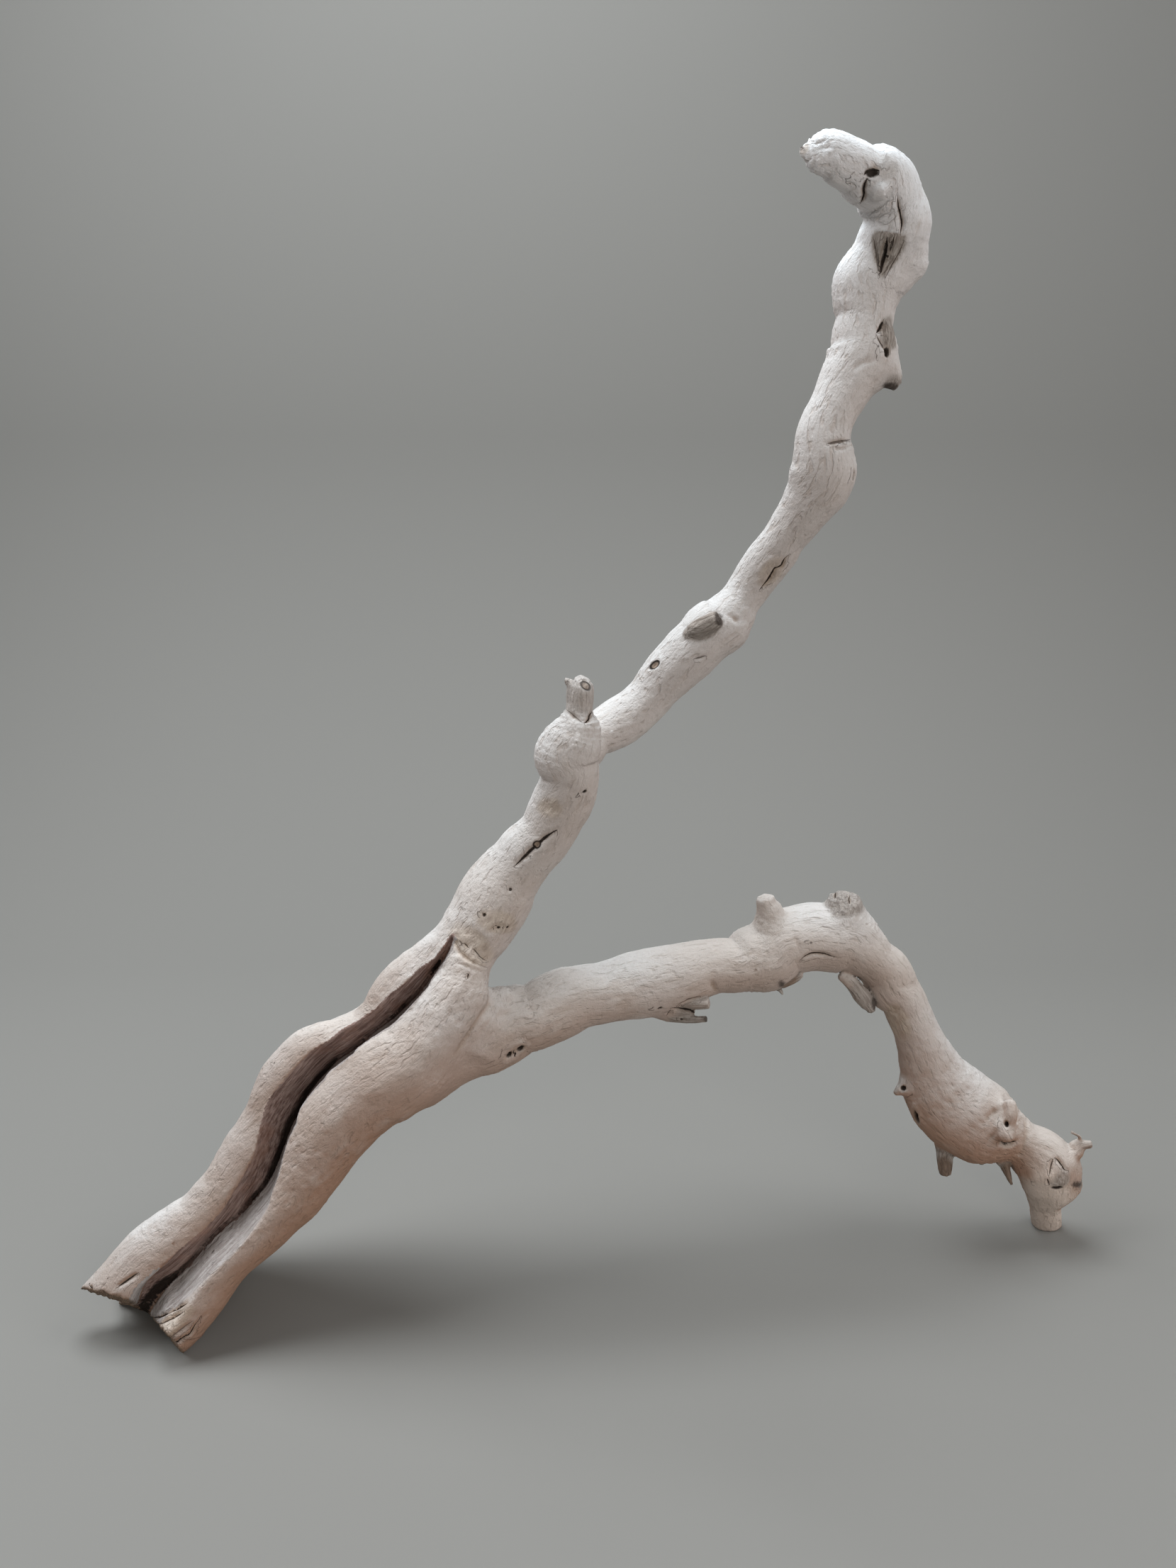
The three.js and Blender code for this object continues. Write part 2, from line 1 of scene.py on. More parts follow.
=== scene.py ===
"""Grapevine driftwood: one gnarled, sandblasted piece of old vine, standing on its broken trunk end and on a stub.

The surface is a signed distance field, built from the same limb stations as the solid model, meshed on a fine grid
and then carved and weathered point by point. All lengths in the tables are millimetres in the shared frame.
"""
import math
import time
import bpy
import numpy as np
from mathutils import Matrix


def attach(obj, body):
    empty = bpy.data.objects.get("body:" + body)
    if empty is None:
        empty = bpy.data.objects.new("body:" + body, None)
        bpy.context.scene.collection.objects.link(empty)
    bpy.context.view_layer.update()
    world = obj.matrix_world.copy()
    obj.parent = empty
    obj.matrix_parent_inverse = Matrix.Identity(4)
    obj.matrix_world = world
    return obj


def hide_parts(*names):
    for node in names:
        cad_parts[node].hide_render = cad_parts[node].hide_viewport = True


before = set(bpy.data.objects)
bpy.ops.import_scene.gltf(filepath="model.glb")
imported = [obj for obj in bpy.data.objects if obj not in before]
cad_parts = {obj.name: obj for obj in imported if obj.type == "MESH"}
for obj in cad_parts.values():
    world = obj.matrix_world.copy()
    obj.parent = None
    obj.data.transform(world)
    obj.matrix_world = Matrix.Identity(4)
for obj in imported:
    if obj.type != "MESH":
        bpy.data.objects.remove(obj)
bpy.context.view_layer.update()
T0 = time.perf_counter()


def lap(words):
    print(f"[{time.perf_counter() - T0:6.1f} s] {words}", flush=True)


# ------------------------------------------------------------------ tables: x, y, z, half width, half depth
LIMBS = {
    "trunk_front": [
        (-252.33, -54.21, -12.96, 14.18, 13.2), (-241.92, -53.32, -2.7, 14.51, 13.35), (-231.65, -52, 7.64, 14.73, 13.63),
        (-221.06, -50.07, 17.56, 15.42, 14.02), (-212.18, -47.25, 28.8, 15.79, 14.22), (-203.9, -44.11, 40.46, 15.84, 13.99),
        (-193.49, -41.37, 50.4, 14.7, 13.41), (-181.98, -38.98, 59.15, 14.41, 13.06), (-171.48, -36.46, 69.03, 14.72, 13.46),
        (-161.89, -33.84, 79.75, 16.27, 14.62), (-154.51, -30.84, 92.01, 18.28, 16.18), (-147.27, -28.03, 104.42, 19.94, 17.73),
        (-138.92, -25.41, 116.14, 21.6, 19.01), (-128.91, -22.82, 126.48, 22.62, 20.06), (-117.87, -20.3, 135.88, 25.49, 20.76),
        (-105.73, -18.62, 143.68, 24.37, 20.48), (-95.93, -16.72, 153.94, 20.51, 18.94), (-87.6, -14.61, 165.68, 18.66, 16.78),
        (-79.95, -12.3, 177.93, 16.53, 14.36), (-75.73, -9.2, 191.26, 12.06, 11.3), (-74.34, -5.47, 205.12, 8.65, 7.6),
    ],
    "trunk_left": [
        (-280.78, -44.73, 2.42, 12.22, 11.4), (-273.7, -43.7, 9.92, 12.39, 11.4), (-266.5, -42.6, 17.29, 12.45, 11.41),
        (-259.4, -41.26, 24.71, 12.41, 11.44), (-252.3, -39.63, 32.09, 12.45, 11.5), (-245.53, -37.6, 39.67, 12.71, 11.58),
        (-238.68, -35.31, 47.1, 12.68, 11.63), (-230.71, -33.25, 53.36, 12, 11.59), (-222.36, -31.39, 59.19, 11.41, 11.47),
        (-214.1, -29.69, 65.25, 10.55, 11.37), (-207.03, -27.92, 72.64, 10.55, 11.41), (-200.56, -26.11, 80.55, 10.21, 11.57),
        (-195.42, -24.06, 89.34, 10.3, 11.72), (-190.47, -22.05, 98.22, 10.11, 11.69), (-185.22, -20.4, 107.02, 9.07, 10.93),
        (-180.48, -19.11, 116.18, 8.21, 10.25), (-176.55, -17.93, 125.69, 8.3, 10.27), (-172.08, -16.75, 134.86, 8.63, 10.16),
        (-165.76, -15.59, 142.94, 8.37, 9.79), (-158.27, -14.4, 149.96, 8.29, 9.36), (-149.16, -13.4, 154.68, 7.26, 7.95),
        (-139.17, -12.61, 157.19, 5.33, 5.79), (-129.94, -11.49, 161.1, 4.7, 5.14), (-123.01, -9.86, 168.37, 5.77, 6.58),
        (-117.46, -8.04, 176.91, 7, 8.1), (-110.51, -6.37, 184.34, 7.63, 8.55), (-102.64, -4.93, 190.92, 7.25, 8.31),
        (-94.69, -3.57, 197.43, 6.52, 7.63), (-86.93, -2.16, 204.18, 5.87, 6.78), (-80.77, -0.49, 212.38, 5.37, 5.9),
    ],
    "trunk_back": [
        (-251.91, -1.58, 7.5, 21.3, 20.7), (-234.81, -0.58, 21, 22.3, 22.1), (-206.11, 1.92, 41.9, 24, 23.6), (-184.11, 6.32, 72.7, 25.7, 25.3),
        (-165.61, 7.82, 98.1, 27.6, 27.2), (-147.41, 9.42, 121.3, 27.8, 27.8), (-116.61, 7.92, 135, 25.9, 26.1), (-99.81, 9.92, 165.6, 22.9, 23.4),
        (-82.91, 7.82, 188.1, 16, 17.4), (-68.91, 9.32, 207.6, 13.9, 14.6), (-60.31, 11.12, 228.3, 12, 12.2), (-54.41, 12.52, 239.5, 8.7, 8.7),
    ],
    "trunk_core": [
        (-260.51, -27.28, -14.5, 18.6, 18.7), (-242.31, -26.18, -9, 19.2, 19.8), (-236.41, -21.98, 20.2, 21, 21), (-218.21, -19.48, 37.7, 21, 21),
        (-202.61, -16.98, 54.9, 20.6, 20.7), (-187.11, -14.48, 75.2, 21.6, 21.6), (-171.21, -12.78, 96.3, 23.3, 23.5),
        (-156.91, -10.98, 111.8, 25.8, 25.8), (-133.71, -9.38, 135.1, 25.9, 26.5), (-108.91, -8.18, 152.8, 23.3, 24),
        (-93.71, -4.88, 174.1, 21.1, 21.1), (-80.41, -1.98, 193.2, 14.8, 15.4), (-70.21, 0.52, 207.6, 13, 13), (-62.31, 4.52, 221.5, 10.2, 10.2),
    ],
    "lower": [
        (-100.74, -5.93, 129.11, 16.38, 14.4), (-92.49, -4.21, 133.52, 15.8, 14.29), (-84.11, -2.5, 137.66, 15.09, 14.4),
        (-75.39, -0.71, 141, 15.39, 14.84), (-66.7, 1.43, 144.25, 17.31, 15.55), (-58.78, 4, 148.85, 18.56, 16.28),
        (-51.01, 6.51, 153.79, 19.17, 16.82), (-41.68, 8.11, 155.52, 17.58, 17.03), (-33.12, 10.13, 159.18, 18.4, 16.94),
        (-24.43, 12.2, 162.47, 18.26, 16.66), (-15.4, 14.36, 164.46, 16.6, 16.44), (-6.19, 16.59, 165.16, 16.35, 16.49),
        (2.9, 19.04, 166.47, 16.82, 16.88), (12, 21.34, 167.84, 18.03, 17.41), (21.41, 23.02, 167.49, 19.89, 17.71),
        (30.92, 24.58, 167.68, 20.57, 17.51), (40.42, 26.26, 169.11, 20.56, 16.92), (48.3, 29.02, 174.3, 15.23, 16.36),
        (57.76, 31.08, 174.8, 14.72, 16.27), (67.11, 33.09, 174.25, 14.97, 16.84), (75.95, 35.46, 176.36, 18.47, 17.85),
        (84.72, 37.43, 178.5, 19.67, 18.78), (92.14, 40.03, 183.9, 18.13, 19.14), (101.33, 41.97, 185.83, 18.65, 19),
        (110.61, 43.7, 187.02, 19.07, 18.64), (119.93, 44.49, 185.59, 18.58, 18.16), (129.65, 45.34, 184.47, 19.62, 17.46),
        (137.77, 45.4, 178.88, 15.8, 16.48), (144.84, 45.38, 172.49, 13.29, 15.34), (151.92, 45.05, 166.01, 14.15, 14.31),
        (156.28, 43.79, 157.53, 14.63, 13.49), (162.24, 42.61, 150.14, 12.65, 12.87), (166.42, 41.27, 141.69, 12.56, 12.48),
        (170.37, 40.36, 133.08, 12.68, 12.42), (173.59, 40.15, 124.16, 13.35, 12.77), (179.12, 40.82, 116.28, 16.07, 13.62),
        (184.85, 41.63, 108.19, 15.92, 14.96), (185, 41.51, 98.59, 22.13, 16.27), (189.3, 41.85, 89.73, 22.99, 17.74),
        (196.47, 42.2, 82.87, 23.45, 18.71), (205.21, 42.86, 78.91, 24.48, 18.66), (212.83, 42.95, 73.08, 23.97, 17.42),
        (222, 43.7, 70.58, 19.32, 15.23), (230.67, 43.94, 66.61, 13.93, 12.94), (238.55, 43.41, 61.17, 11.81, 11.8),
        (247.32, 43.16, 57.07, 11.76, 11.24), (253.3, 42.27, 49.48, 11.78, 10.38), (258.88, 41.62, 41.75, 13.2, 8.86),
        (263.79, 41.02, 33.63, 8.8, 6.72),
    ],
    "foot": [
        (249.09, 42.52, 48.8, 15, 14), (252.29, 44.02, 36.8, 13.2, 12.3), (253.79, 46.52, 26.9, 10.6, 9.9), (256.19, 49.52, 17.5, 8.9, 8.3),
        (258.69, 52.52, 8.9, 8.9, 8.3), (260.79, 55.52, 0.2, 8.6, 8), (263.39, 59.02, -10.8, 8.3, 7.7),
    ],
    "upper_a": [
        (-75.42, -1.49, 180.38, 6.12, 6.1), (-77, 0.79, 188.61, 6.32, 8.16), (-73.68, 2.91, 196.23, 10.64, 10.61),
        (-70.05, 4.79, 203.55, 15.18, 13.28), (-66.69, 6.37, 211.07, 17.41, 15.38), (-62.68, 7.58, 218.33, 18.62, 16.46),
        (-58.38, 8.61, 225.46, 18.24, 16.59), (-53.85, 9.33, 232.47, 17.17, 16.14), (-48.66, 9.36, 239.05, 15.72, 15.48),
        (-43.89, 8.91, 245.92, 15.48, 14.85), (-38.01, 7.91, 251.85, 14.85, 14.38), (-33.07, 6.82, 258.61, 14.36, 14.17),
        (-29.56, 5.6, 266.18, 14.94, 14.17), (-26.03, 4.05, 273.64, 15.52, 14.18), (-23.19, 2.34, 281.37, 15.26, 14.07),
        (-21.64, 0.62, 289.54, 14.5, 13.89), (-23.38, -0.8, 297.76, 16.51, 13.42), (-20.7, -1.67, 305.68, 15.01, 12.04),
        (-18.17, -2.15, 313.7, 12.04, 9.33), (-17.55, -2.48, 322.11, 6.59, 5.6),
    ],
    "upper_b": [
        (-25.82, 3.56, 284.56, 9.63, 9.5), (-21.73, 8.52, 288.43, 9.71, 9.67), (-17.99, 13.24, 292.88, 9.83, 9.93),
        (-14.39, 17.66, 297.73, 10.61, 10.34), (-10.56, 21.88, 302.58, 10.88, 10.88), (-4.68, 25.37, 305.69, 11.96, 11.45),
        (1.55, 28.07, 308.85, 12.67, 11.9), (7.71, 30.04, 312.67, 12.54, 12.14), (13.49, 31.46, 317.27, 11.89, 12.29),
        (18.65, 32.26, 322.68, 11.85, 12.53), (23.13, 32.39, 328.7, 12.7, 12.97), (28.05, 31.9, 334.33, 13.73, 13.55),
        (33.27, 31.2, 339.66, 14.22, 14.1), (38.47, 30.62, 345.05, 14.7, 14.51), (43.72, 30.38, 350.37, 14.43, 14.68),
        (48.98, 30.79, 355.68, 15.31, 14.51), (55.28, 31.64, 359.72, 15.25, 13.89), (60.05, 33.16, 365.32, 12.95, 12.93),
        (64.29, 34.17, 371.43, 10.81, 12.02), (68.36, 33.78, 377.7, 11.04, 11.53), (72.02, 32.1, 384.01, 11.52, 11.44),
        (75.88, 29.78, 389.99, 11.92, 11.51), (79.91, 27.39, 395.86, 11.66, 11.57), (83.42, 25.24, 402.14, 10.91, 11.69),
        (87.22, 23.09, 408.23, 11.59, 12.05), (91.02, 20.76, 414.26, 12.36, 12.71), (94.33, 18.2, 420.49, 13.51, 13.52),
        (97.36, 15.5, 426.83, 15.43, 14.15), (98.94, 13.37, 433.89, 16.05, 14.26), (98.56, 12.49, 441.36, 14.37, 13.8),
        (98.29, 12.99, 448.9, 13.22, 13.18), (100.13, 14.2, 456.15, 12.55, 12.86), (103.21, 15.5, 462.85, 12.17, 13.02),
        (106.6, 16.84, 469.35, 13.1, 13.62), (110.03, 18.24, 475.85, 14.11, 14.39), (114.06, 19.56, 482.04, 16.18, 14.96),
        (116.73, 21.01, 488.97, 16.44, 15.14), (115.96, 22.51, 496.42, 13.92, 15.09), (117.36, 23.65, 503.74, 13.62, 15.11),
        (117.32, 24.14, 511.21, 15.56, 15.25), (118.16, 23.83, 518.65, 16.91, 15.2), (121.37, 22.81, 525.26, 15.88, 14.79),
        (124.42, 21.48, 531.97, 13.64, 14.27), (127.35, 19.79, 538.79, 12.79, 14.15), (129.59, 17.96, 545.71, 13, 12.62),
    ],
    "head": [
        (124.34, 19.73, 538.69, 7.91, 11.38), (130.07, 17.74, 544.73, 13.3, 12.99), (125.33, 15.52, 552.27, 13.27, 13.2),
        (121.8, 12, 557.54, 15, 13.5), (116.79, 8.52, 560.8, 14.08, 13.32), (110.35, 4.76, 560.81, 12.9, 12.38), (104.97, 1.96, 563.47, 11, 11.17),
        (98.87, -0.62, 565.31, 10.98, 10.17), (92.75, -2.84, 567.15, 10.82, 8.75), (86.23, -5.3, 566.71, 8.5, 5.88),
        (79.74, -7.42, 567.29, 3.03, 1.66),
    ],
}
STUBS = {
    "twig_stub": [
        (-16.41, -0.26, 313.08, 5.6, 5.6), (-17.09, -0.76, 320.21, 6.5, 6.5), (-17.07, -1.36, 327.3, 6.9, 6.9), (-16.72, -1.76, 332.22, 6.4, 6.4),
        (-17.06, -1.76, 335.34, 4.6, 4.6), (-17.74, -1.76, 337.41, 2.4, 2.4),
    ],
    "spur_right": [
        (114.59, 18.52, 486.3, 8.7, 8.7), (123.09, 17.52, 483.6, 8.3, 8.3), (127.99, 16.42, 480, 6.3, 6.3), (130.39, 15.52, 475.7, 4.5, 4.5),
        (129.79, 14.52, 472, 2.6, 2.6),
    ],
    "bulge_right": [
        (132.84, 22.74, 526.47, 7.6, 7.6), (136.53, 21.74, 531.81, 8.8, 8.8), (137.92, 20.74, 536.79, 8, 8), (138.06, 19.74, 540.53, 6.2, 6.2),
    ],
    "dead_stub_mid": [
        (35.32, 18.74, 355.69, 1.6, 1.6), (39.68, 16.74, 358.01, 4.2, 4.2), (44.64, 14.24, 360.36, 5.2, 5.2), (48.56, 12.24, 362.99, 5, 5),
        (50.84, 11.24, 364.47, 4.5, 4.5),
    ],
    "dead_stub_top": [
        (122.19, 16.74, 519.9, 1.6, 1.6), (122.48, 13.74, 524.85, 3.6, 3.6), (122.72, 10.74, 530.32, 5.4, 5.4), (123.28, 8.84, 534.73, 6.6, 6.6),
        (123.61, 8.24, 537.28, 6.6, 6.6),
    ],
    "head_curl": [
        (111.29, 1.74, 558.87, 3, 3), (112.27, -1.76, 554.59, 3.8, 3.8), (114.58, -2.96, 552.88, 4.4, 4.4), (117.12, -2.26, 555.04, 3.2, 3.2),
        (118.7, -0.26, 557.81, 2.4, 2.4),
    ],
    "stub_white": [
        (86.45, 36.74, 196.5, 10.5, 10.5), (84.94, 36.24, 204.41, 7.2, 7.2), (83.12, 35.74, 210.24, 5.3, 5.3), (82.61, 35.44, 212.76, 4.4, 4.4),
        (82.53, 35.24, 214.04, 2.8, 2.8),
    ],
    "stump": [
        (126.06, 44.74, 192.72, 15, 15), (125.18, 44.04, 199.57, 12.6, 12.6), (124.41, 43.64, 205.45, 9.8, 9.8), (122.94, 43.24, 210.08, 7, 7),
        (122, 43.04, 212.59, 4.4, 4.4),
    ],
    "stub_c": [
        (192.46, 41.24, 62.23, 7, 6), (191.71, 39.74, 54.99, 5, 4.4), (191.86, 38.74, 48.8, 4.4, 3.6), (192.41, 38.04, 43.77, 3.4, 2.6),
    ],
    "stub_d": [
        (223.83, 40.74, 54.39, 4.8, 4.8), (226.69, 39.24, 48.04, 2.9, 2.9), (228.75, 38.04, 42.86, 2, 2), (230.51, 37.24, 37.89, 0.9, 0.9),
    ],
    "twig_a": [
        (256.89, 40.52, 52.7, 5.7, 5.7), (265.29, 39.42, 57.2, 4.8, 4.8), (269.39, 39.12, 61.9, 3.2, 3.2), (274.19, 38.42, 62.9, 2.4, 2.4),
    ],
    "twig_b": [
        (264.59, 39.52, 61.5, 2.8, 2.8), (267.69, 38.62, 66.6, 1.2, 1.2), (261.79, 37.52, 71.3, 1.2, 1.2),
    ],
    "flake": [
        (126.01, 38.24, 166.61, 3, 2.6), (132.59, 36.74, 161.4, 4.2, 3), (137.77, 35.74, 155.13, 5, 3), (141.72, 34.74, 150.11, 4.2, 2.6),
        (143.76, 34.24, 146.55, 2.2, 1.8),
    ],
    "stub_split": [
        (23.57, 25.74, 158.28, 10, 10), (29.88, 21.74, 155.53, 8.4, 8), (35.45, 19.24, 154.19, 6, 6), (38.85, 18.74, 153.59, 3.6, 4.2),
    ],
    "nub_left": [
        (174.24, 40.24, 100.17, 8.5, 8.5), (167.22, 37.74, 99.3, 5.2, 5.2), (163.01, 36.64, 98.13, 3.8, 3.8), (159.84, 36.24, 96.16, 1.8, 1.8),
    ],
    "nub_fork": [
        (-57.51, 1.02, 167.6, 6, 6), (-56.61, 0.02, 172, 4.2, 4.2),
    ],
    "stub_dark": [
        (102.17, 34.24, 169.53, 3.8, 3.8), (96.62, 30.74, 167.69, 4, 4), (91.36, 28.74, 165.65, 3.4, 3.4),
    ],
    "shoulder": [
        (-66.01, 8.22, 198, 7.1, 7.3), (-58.41, 12.12, 207.4, 8.4, 8.8), (-51.41, 12.82, 217.8, 8.4, 8.9),
    ],
    "end_stub": [
        (252.24, 38.24, 54.09, 5.6, 5.6), (253.23, 34.74, 50.8, 5.8, 5.8), (253.74, 32.04, 47.05, 5.6, 5.6), (254.21, 30.24, 43.22, 4.8, 4.8),
    ],
    "crotch": [
        (-74.11, -2.98, 149.6, 13, 13), (-66.61, -1.98, 161, 11.5, 11.5), (-61.71, -0.98, 168.5, 7, 7),
    ],
    "twig_fibre": [
        (-21.18, -2.76, 327.53, 2.4, 2.4), (-21.51, -2.76, 333.07, 2.6, 2.6), (-22.87, -2.76, 335.14, 2, 2), (-24.25, -2.76, 334.45, 1.2, 1.2),
    ],
    "curl_a": [
        (116.38, -2.76, 554.92, 1.8, 1.8), (116.62, -3.36, 559.05, 2.2, 2.2), (117, -3.36, 563.03, 2.3, 2.3), (116.33, -2.96, 565.67, 1.5, 1.5),
    ],
    "curl_b": [
        (118.23, -2.26, 557.33, 1.8, 1.8), (119.49, -2.76, 560.34, 1.9, 1.9), (120.79, -2.96, 563.69, 1, 1),
    ],
    "stub_brown": [
        (124.21, 16.74, 502.02, 2.6, 2.6), (124.93, 13.24, 497.82, 3.7, 3.7), (125.49, 11.84, 493.61, 3.8, 3.8), (125.74, 12.04, 490.22, 3.2, 3.2),
    ],
    "chip": [
        (88.74, 33.24, 161.65, 1.4, 1.4), (91.35, 32.24, 160.42, 1.5, 1.5), (93.61, 31.24, 157.94, 1, 1),
    ],
    "prong_up": [
        (30.54, 20.74, 157.62, 3.2, 4), (38.51, 15.84, 159.4, 3.2, 4), (45.49, 13.84, 160.29, 3.3, 4.2), (51, 12.64, 161.23, 3.2, 4.2),
    ],
    "prong_low": [
        (29.45, 19.74, 150.26, 2.9, 4), (37.19, 16.24, 150.63, 2.5, 3.8), (44.59, 14.24, 151.15, 2.1, 3.6), (50.15, 13.24, 152.02, 1.9, 3.4),
    ],
    "nub_low": [
        (211.57, 38.24, 54.99, 2.4, 2.4), (212.03, 37.44, 50.95, 1.3, 1.3),
    ],
    "nub_end": [
        (262.34, 39.24, 41.66, 4, 4), (266.04, 37.74, 39.4, 3, 3), (269.38, 36.84, 39.06, 1.9, 1.9),
    ],
    "eye_lip": [
        (222.17, 25.74, 94.02, 3, 3), (222.35, 23.74, 88.21, 3.4, 3.4), (222.08, 23.74, 82.13, 2.8, 2.8),
    ],
    "eye_stub": [
        (218.79, 27.24, 79.25, 4.5, 4.5), (220.15, 23.74, 76.89, 4.6, 4.6), (221.03, 22.24, 74.27, 3.8, 3.8),
    ],
}
# the two faces of the trunk's broken lower end: a point, and the way the face looks
CUTS = (((-253.48, -49.76, 29.73), (-0.2486, -0.6979, -0.6717)), ((-228.86, -52.56, 12.65), (-0.6571, -0.6205, -0.428)))
CAMERA = (-13.11, -567.52, 420.0)

FRONT = np.array([0.0, -0.957, 0.29])
# the camera, and the frame that pixel positions below are read in
IMAGE = (1659, 2212)
FOCAL_PX = 1661.0
PITCH = math.radians(13.5)
VOXEL = 1.0
TRIANGLES = 196_000

# ------------------------------------------------------------------ features, read in the picture's 1659 x 2212 pixels
# rounded stub ends are flatter or rounder than half a ball
STUB_CAP = dict(twig_stub=0.3, stump=0.2, end_stub=0.2, dead_stub_top=0.15, dead_stub_mid=0.15, stub_split=0.3, shoulder=0.9, bulge_right=0.9,
                nub_fork=0.8, spur_right=0.3, head_curl=0.8, curl_a=0.3, curl_b=0.3, prong_up=0.12, prong_low=0.12, stub_dark=0.15, flake=0.3,
                stub_brown=0.4, stub_white=0.12, stub_c=0.15, eye_lip=0.9, eye_stub=0.3, nub_left=0.6)
STUBS["bulge_right"] = [(132.84, 22.74, 523.5, 7.6, 7.6), (136.4, 21.74, 527.6, 8.8, 8.8), (136.6, 20.74, 531.2, 7.6, 7.6)]
STUBS["dead_stub_mid"] = [(x, y + 1.4, z - 0.3, r, q) for x, y, z, r, q in STUBS["dead_stub_mid"]]
STUBS["eye_lip"] = [(x, y + 2.6, z, r, q) for x, y, z, r, q in STUBS["eye_lip"]]
STUBS["eye_stub"] = [(x, y + 1.6, z, r, q) for x, y, z, r, q in STUBS["eye_stub"]]
STUBS["stump"] = [(126.5, 44.74, 192.72, 15, 15), (126.5, 44, 200, 13, 13), (126, 43.5, 205.5, 10.8, 10.8), (124.6, 43.2, 209.2, 7.6, 7.6), (124, 43, 211.4, 5, 5)]
STUBS["stub_white"] = [(86.6, 36.74, 196.5, 10.5, 10.5), (85, 36.24, 204.4, 7.4, 7.4), (83, 35.74, 209.6, 5.4, 5.4), (82.4, 35.44, 212.4, 4.8, 4.8)]
STUBS["stub_split"] = [(23.57, 25.74, 158.28, 10, 10), (29.88, 21.74, 156.0, 9.0, 8.6), (37, 19.6, 154.8, 7.2, 6.6), (43, 19.2, 154.4, 5.4, 5.0)]
# the limbs' finished lines, where a stub or a nub widened them
LIMBS["lower"][14:18] = [(21.41, 23.02, 168.8, 18.6, 17.5), (30.92, 24.58, 170.2, 18.0, 17.3), (40.42, 26.26, 172.2, 17.3, 16.9), (48.9, 29.0, 174.0, 16.0, 16.4)]
LIMBS["lower"][33:46] = [(170.3, 40.4, 133.1, 12.6, 12.4), (173.8, 40.1, 124.5, 13.9, 12.8), (177.4, 40.8, 115.8, 16.2, 13.7), (181.3, 41.5, 106.9, 18.6, 15.2), (185.7, 41.5, 98.4, 21.5, 16.5), (191.3, 41.9, 90.6, 23.5, 17.7), (198.1, 42.2, 84.0, 24.3, 18.7), (205.6, 42.9, 78.3, 24.4, 18.7), (213.5, 43.0, 73.1, 23.7, 17.4), (221.6, 43.7, 69.0, 20.2, 15.2), (230.1, 43.9, 65.2, 15.0, 12.9), (238.6, 43.4, 61.0, 12.2, 11.8), (247.1, 43.2, 56.8, 12.0, 11.2)]
LIMBS["head"][1] = (127.0, 17.74, 544.4, 12.4, 12.6)
# the long split: left lip u, v, deepest line u, v, right lip u, v, depth behind the surface in mm
SPLIT_PX = [
    (184, 1850, 187, 1853, 198, 1871, 4), (196, 1836, 199, 1841, 214, 1862, 6), (206, 1810, 216, 1822, 234, 1852, 9),
    (223, 1793, 238, 1806, 262, 1832, 11), (240, 1778, 256, 1788, 286, 1810, 10), (258, 1762, 274, 1770, 304, 1793, 9),
    (279, 1745, 292, 1750, 325, 1771, 8), (298, 1727, 312, 1730, 347, 1747, 8), (316, 1706, 338, 1710, 366, 1720, 8),
    (328, 1686, 354, 1693, 380, 1697, 9), (339, 1668, 368, 1678, 390, 1680, 10), (349, 1650, 380, 1655, 395, 1658, 11),
    (358, 1632, 388, 1638, 397, 1642, 12), (363, 1614, 397, 1614, 401, 1616, 13), (367, 1596, 403, 1597, 406, 1599, 14),
    (371, 1579, 412, 1578, 415, 1580, 14), (377, 1561, 421, 1562, 424, 1564, 15), (387, 1543, 432, 1542, 435, 1544, 15),
    (400, 1528, 441, 1529, 444, 1531, 15), (415, 1510, 456, 1510, 459, 1512, 14), (431, 1492, 472, 1497, 475, 1499, 14),
    (446, 1480, 490, 1484, 493, 1486, 13), (466, 1468, 506, 1473, 509, 1475, 12), (484, 1454, 518, 1465, 521, 1467, 12),
    (500, 1445, 533, 1452, 536, 1454, 12), (519, 1433, 548, 1439, 551, 1441, 12), (534, 1422, 562, 1427, 565, 1429, 12),
    (548, 1407, 575, 1414, 578, 1416, 12), (565, 1394, 588, 1401, 591, 1403, 12), (582, 1378, 603, 1384, 606, 1386, 11),
    (597, 1365, 614, 1368, 617, 1370, 10), (614, 1353, 624, 1351, 627, 1353, 8), (626, 1338, 632, 1337, 634, 1339, 6),
    (636, 1322, 638, 1322, 640, 1324, 4),
]
